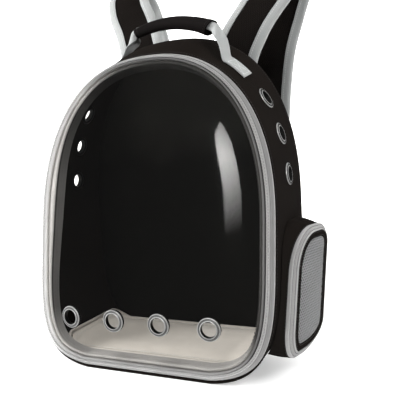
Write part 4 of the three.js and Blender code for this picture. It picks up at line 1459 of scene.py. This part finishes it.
def addNetting(side, word):
    edge = pocketOutline(pocketFace, pocket["zipWidth"] + pocket["borderWidth"] + 2 * gap)
    centre = edge.mean(0)
    bearing = np.arctan2(edge[:, 1] - centre[1], edge[:, 0] - centre[0])
    order = np.argsort(bearing)
    reach = np.linalg.norm(edge - centre, axis=1)

    def edgeShare(y, z):
        aim = np.arctan2(z - centre[1], y - centre[0])
        limit = np.interp(aim, bearing[order], reach[order], period=2 * np.pi)
        return np.hypot(y - centre[0], z - centre[1]) / limit

    def onNet(y, z, height):
        rise = pocket["crown"] * (1 - np.clip(edgeShare(y, z), 0, 1) ** 3)
        return np.stack([pocketFaceX(y) + rise + height, y, z], -1)

    # plain cloth behind the netting
    levels = [(share, -1.0) for share in (0.03, 0.3, 0.6, 0.85, 1)]
    levels += [(share, -pocket["panel"]) for share in (1, 0.6, 0.03)]
    rings = []
    for share, height in levels:
        spots = lerp(centre, edge, share)
        rings.append(onNet(spots[:, 0], spots[:, 1], height))
    shape = Shape()
    shape.tube(np.stack(rings), 1)

    # six-sided cells in staggered rows, cut along the edge
    pitch = netting["pitch"]
    low, high = edge.min(0), edge.max(0)
    rows = np.arange(low[1] - pitch, high[1] + pitch, pitch * math.sqrt(3) / 2)
    y, z = np.meshgrid(np.arange(low[0] - pitch, high[0] + pitch, pitch), rows)
    y = y + (np.arange(len(rows)) % 2)[:, None] * pitch / 2
    kept = edgeShare(y, z) < netting["overrun"]
    y, z = y[kept], z[kept]
    turn = np.radians(np.arange(6) * 60 + 30)
    outer = pitch / math.sqrt(3)
    hole = outer * netting["hole"]
    cells = []
    for radius, height in ((outer, 0.0), (outer * 0.8, 0.12), (hole, -0.1), (hole * 1.04, -0.75)):
        spots = np.stack([y[:, None] + radius * np.cos(turn), z[:, None] + radius * np.sin(turn)], -1)
        pull = np.minimum(1, netting["trimmed"] / edgeShare(spots[..., 0], spots[..., 1]))
        spots = centre + (spots - centre) * pull[..., None]
        cells.append(onNet(spots[..., 0], spots[..., 1], height))
    points = np.stack(cells, 1).reshape(-1, 3)
    quads = [[a * 6 + j, a * 6 + (j + 1) % 6, (a + 1) * 6 + (j + 1) % 6, (a + 1) * 6 + j]
             for a in range(3) for j in range(6)]
    offsets = (np.arange(len(y)) * 24)[:, None, None]
    faces = (np.array(quads) + offsets).reshape(-1, 4)
    corner = points[faces]
    area = np.linalg.norm(np.cross(corner[:, 2] - corner[:, 0], corner[:, 3] - corner[:, 1]), axis=1) / 2
    faces = faces[area > netting["leastFace"]]
    shape.add(points, faces, points[faces][..., 1:])
    name = f"pocket_mesh_{word}"
    shape.piece(name + "_net", ["netting", "netBack"], name, 60, True, side)


for side, word in bothSides:
    addPocketWall(side, word)
    addPocketZip(side, word)
    addPocketBorder(side, word)
    addNetting(side, word)
print("side pockets")


# Studio: pale floor with a sweep behind, soft lights; in metres

studio = dict(floor=(0.9, 0.9, 0.895), glow=0.45, glowGrows=(1.2, 2.2), reach=3.2, frontEdge=-0.55,
              sweepAt=1.5, sweepRadius=0.9, height=2.6, world=0.1)
# soft lamps shape the cloth; the window and metal mirror only the front box
lamps = dict(
    key=dict(spot=(-1.6, -0.8, 0.5), aim=(0, -0.05, 0.22), size=(0.8, 0.8), power=60),
    front=dict(spot=(0.1, -1.6, 1.35), aim=(-0.02, 0, 0.1), size=(0.9, 0.6), power=9),
    well=dict(spot=(-0.1, -0.66, 1.75), aim=(0, -0.02, 0.05), size=(0.5, 0.5), power=13),
    top=dict(spot=(0.2, 0.1, 2.0), aim=(0.1, 0.1, 0.2), size=(1.4, 1.4), power=3),
    side=dict(spot=(1.5, 0.45, 1.1), aim=(0.1, 0, 0.2), size=(0.9, 0.9), power=25),
    sweep=dict(spot=(-0.6, 1.0, 2.2), aim=(-0.9, 2.3, 0.6), size=(1.8, 0.8), power=40),
)
# front box: outline as degrees round from the front and degrees up, seen from a spot on the window
frontBox = dict(spot=(0.112, -0.07, 0.235), away=1.5, strength=12.5, darkAt=4, brightAt=23, fade=(0.28, 0.68),
                outline=[(4.5, 4), (4, 13), (2.5, 18), (1, 24), (1, 30), (10.5, 37.5), (20, 31), (22.5, 22),
                         (24.5, 14), (24.5, 4)])


def stageSheet(name, points, faces, material):
    mesh = bpy.data.meshes.new(name)
    mesh.from_pydata(np.asarray(points).reshape(-1, 3).tolist(), [], faces)
    mesh.materials.append(material)
    sheet = bpy.data.objects.new(name, mesh)
    scene.collection.objects.link(sheet)
    return sheet


def addFrontBox():
    # glowing panel that only mirrors see, brightest two thirds of the way up
    points = []
    for turn, rise in np.radians(frontBox["outline"]):
        aim = (math.sin(turn) * math.cos(rise), -math.cos(turn) * math.cos(rise), math.sin(rise))
        points.append(np.array(frontBox["spot"]) + np.array(aim) * frontBox["away"])
    finish = Finish("boxGlow", Roughness=1.0, Specular_IOR_Level=0.0, Base_Color=(0, 0, 0, 1),
                    Emission_Strength=frontBox["strength"])
    across, up = finish.split(finish.place(), (0, 2))
    low, high = (frontBox["spot"][2] + frontBox["away"] * math.sin(math.radians(frontBox[key]))
                 for key in ("darkAt", "brightAt"))
    crown = up.ramp(high, 2 * high - low)
    glow = (up.ramp(low, high) - crown * 0.85) * (1 - across.ramp(*frontBox["fade"]) * 0.4)
    finish.feed("Emission Color", glow.blend((0, 0, 0), (1, 0.99, 0.98)))
    panel = stageSheet("frontBox", points, [list(range(len(points)))], finish.material)
    panel.visible_camera = panel.visible_diffuse = panel.visible_shadow = panel.visible_transmission = False


def addSheet(name, points, finish, lights):
    # one sheet of the studio, from rows of points; some sheets throw no light on the piece
    shape = Shape()
    shape.grid(points)
    sheet = stageSheet(name, points, shape.faces, finish.material)
    sheet.data.shade_smooth()
    sheet.visible_glossy = False
    sheet.visible_diffuse = sheet.visible_shadow = lights


def paperFinish():
    # the paper glows more far from the piece, so that it stays white past the lamps
    finish = Finish("studioPaper", Specular_IOR_Level=0.1, Emission_Strength=1.0)
    fibre = finish.grain(3, 3.0)
    shaded = tuple(0.98 * tone for tone in studio["floor"])
    finish.feed("Base Color", fibre.clamp().blend(shaded, studio["floor"]))
    finish.feed("Roughness", fibre * 0.1 + 0.85)
    distance = finish.wire.node("VectorMath", {"operation": "LENGTH"}, {0: finish.place()}, 1)
    glow = distance.ramp(*studio["glowGrows"]).blend((studio["glow"],) * 3, (1, 1, 1))
    finish.feed("Emission Color", glow)
    return finish


def addBackdrop():
    turn = math.radians(camera["turn"])
    away = np.array([-math.sin(turn), math.cos(turn), 0])
    level = np.array([math.cos(turn), math.sin(turn), 0])
    reach, edge, height = studio["reach"], studio["frontEdge"], studio["height"]
    sweepAt, radius = studio["sweepAt"], studio["sweepRadius"]
    wallAt = sweepAt + radius

    def rowsOf(corners):
        return np.array([[level * across + away * depth + np.array([0, 0, up]) for across, depth, up in row]
                         for row in corners])

    line = [(edge, 0.0), (0.0, 0.0)]
    line += [(sweepAt + radius * math.sin(bend), radius * (1 - math.cos(bend)))
             for bend in np.linspace(0, math.pi / 2, 16)]
    line.append((wallAt, height))
    floor = rowsOf([[(-reach, depth, up), (reach, depth, up)] for depth, up in line])
    front = rowsOf([[(-reach, depth, 0), (reach, depth, 0)] for depth in (-reach, edge)])
    corners = [(-reach, wallAt), (-reach, -reach), (reach, -reach), (reach, wallAt)]
    walls = rowsOf([[(*corner, up) for corner in corners] for up in (0, height)])
    paper = paperFinish()
    white = Finish("studioWall", Roughness=1.0, Specular_IOR_Level=0.0, Base_Color=(0, 0, 0, 1),
                   Emission_Color=(1, 1, 1, 1), Emission_Strength=1.0)
    addSheet("studioFloor", floor, paper, True)
    addSheet("studioFront", front, paper, False)
    addSheet("studioWalls", walls, white, False)


def addLamps():
    world = bpy.data.worlds.new("studio")
    world.use_nodes = True
    sky = world.node_tree.nodes["Background"].inputs
    sky["Color"].default_value = (1, 1, 1, 1)
    sky["Strength"].default_value = studio["world"]
    scene.world = world
    for name, lamp in lamps.items():
        light = bpy.data.lights.new(name, "AREA")
        light.shape = "RECTANGLE"
        light.size, light.size_y = lamp["size"]
        light.energy = lamp["power"]
        obj = bpy.data.objects.new(name, light)
        spot = Vector(lamp["spot"])
        obj.location = spot
        obj.rotation_euler = (Vector(lamp["aim"]) - spot).to_track_quat("-Z", "Y").to_euler()
        obj.visible_camera = obj.visible_glossy = False
        scene.collection.objects.link(obj)
    scene.view_settings.view_transform = "Standard"


addBackdrop()
addLamps()
addFrontBox()
print("studio")
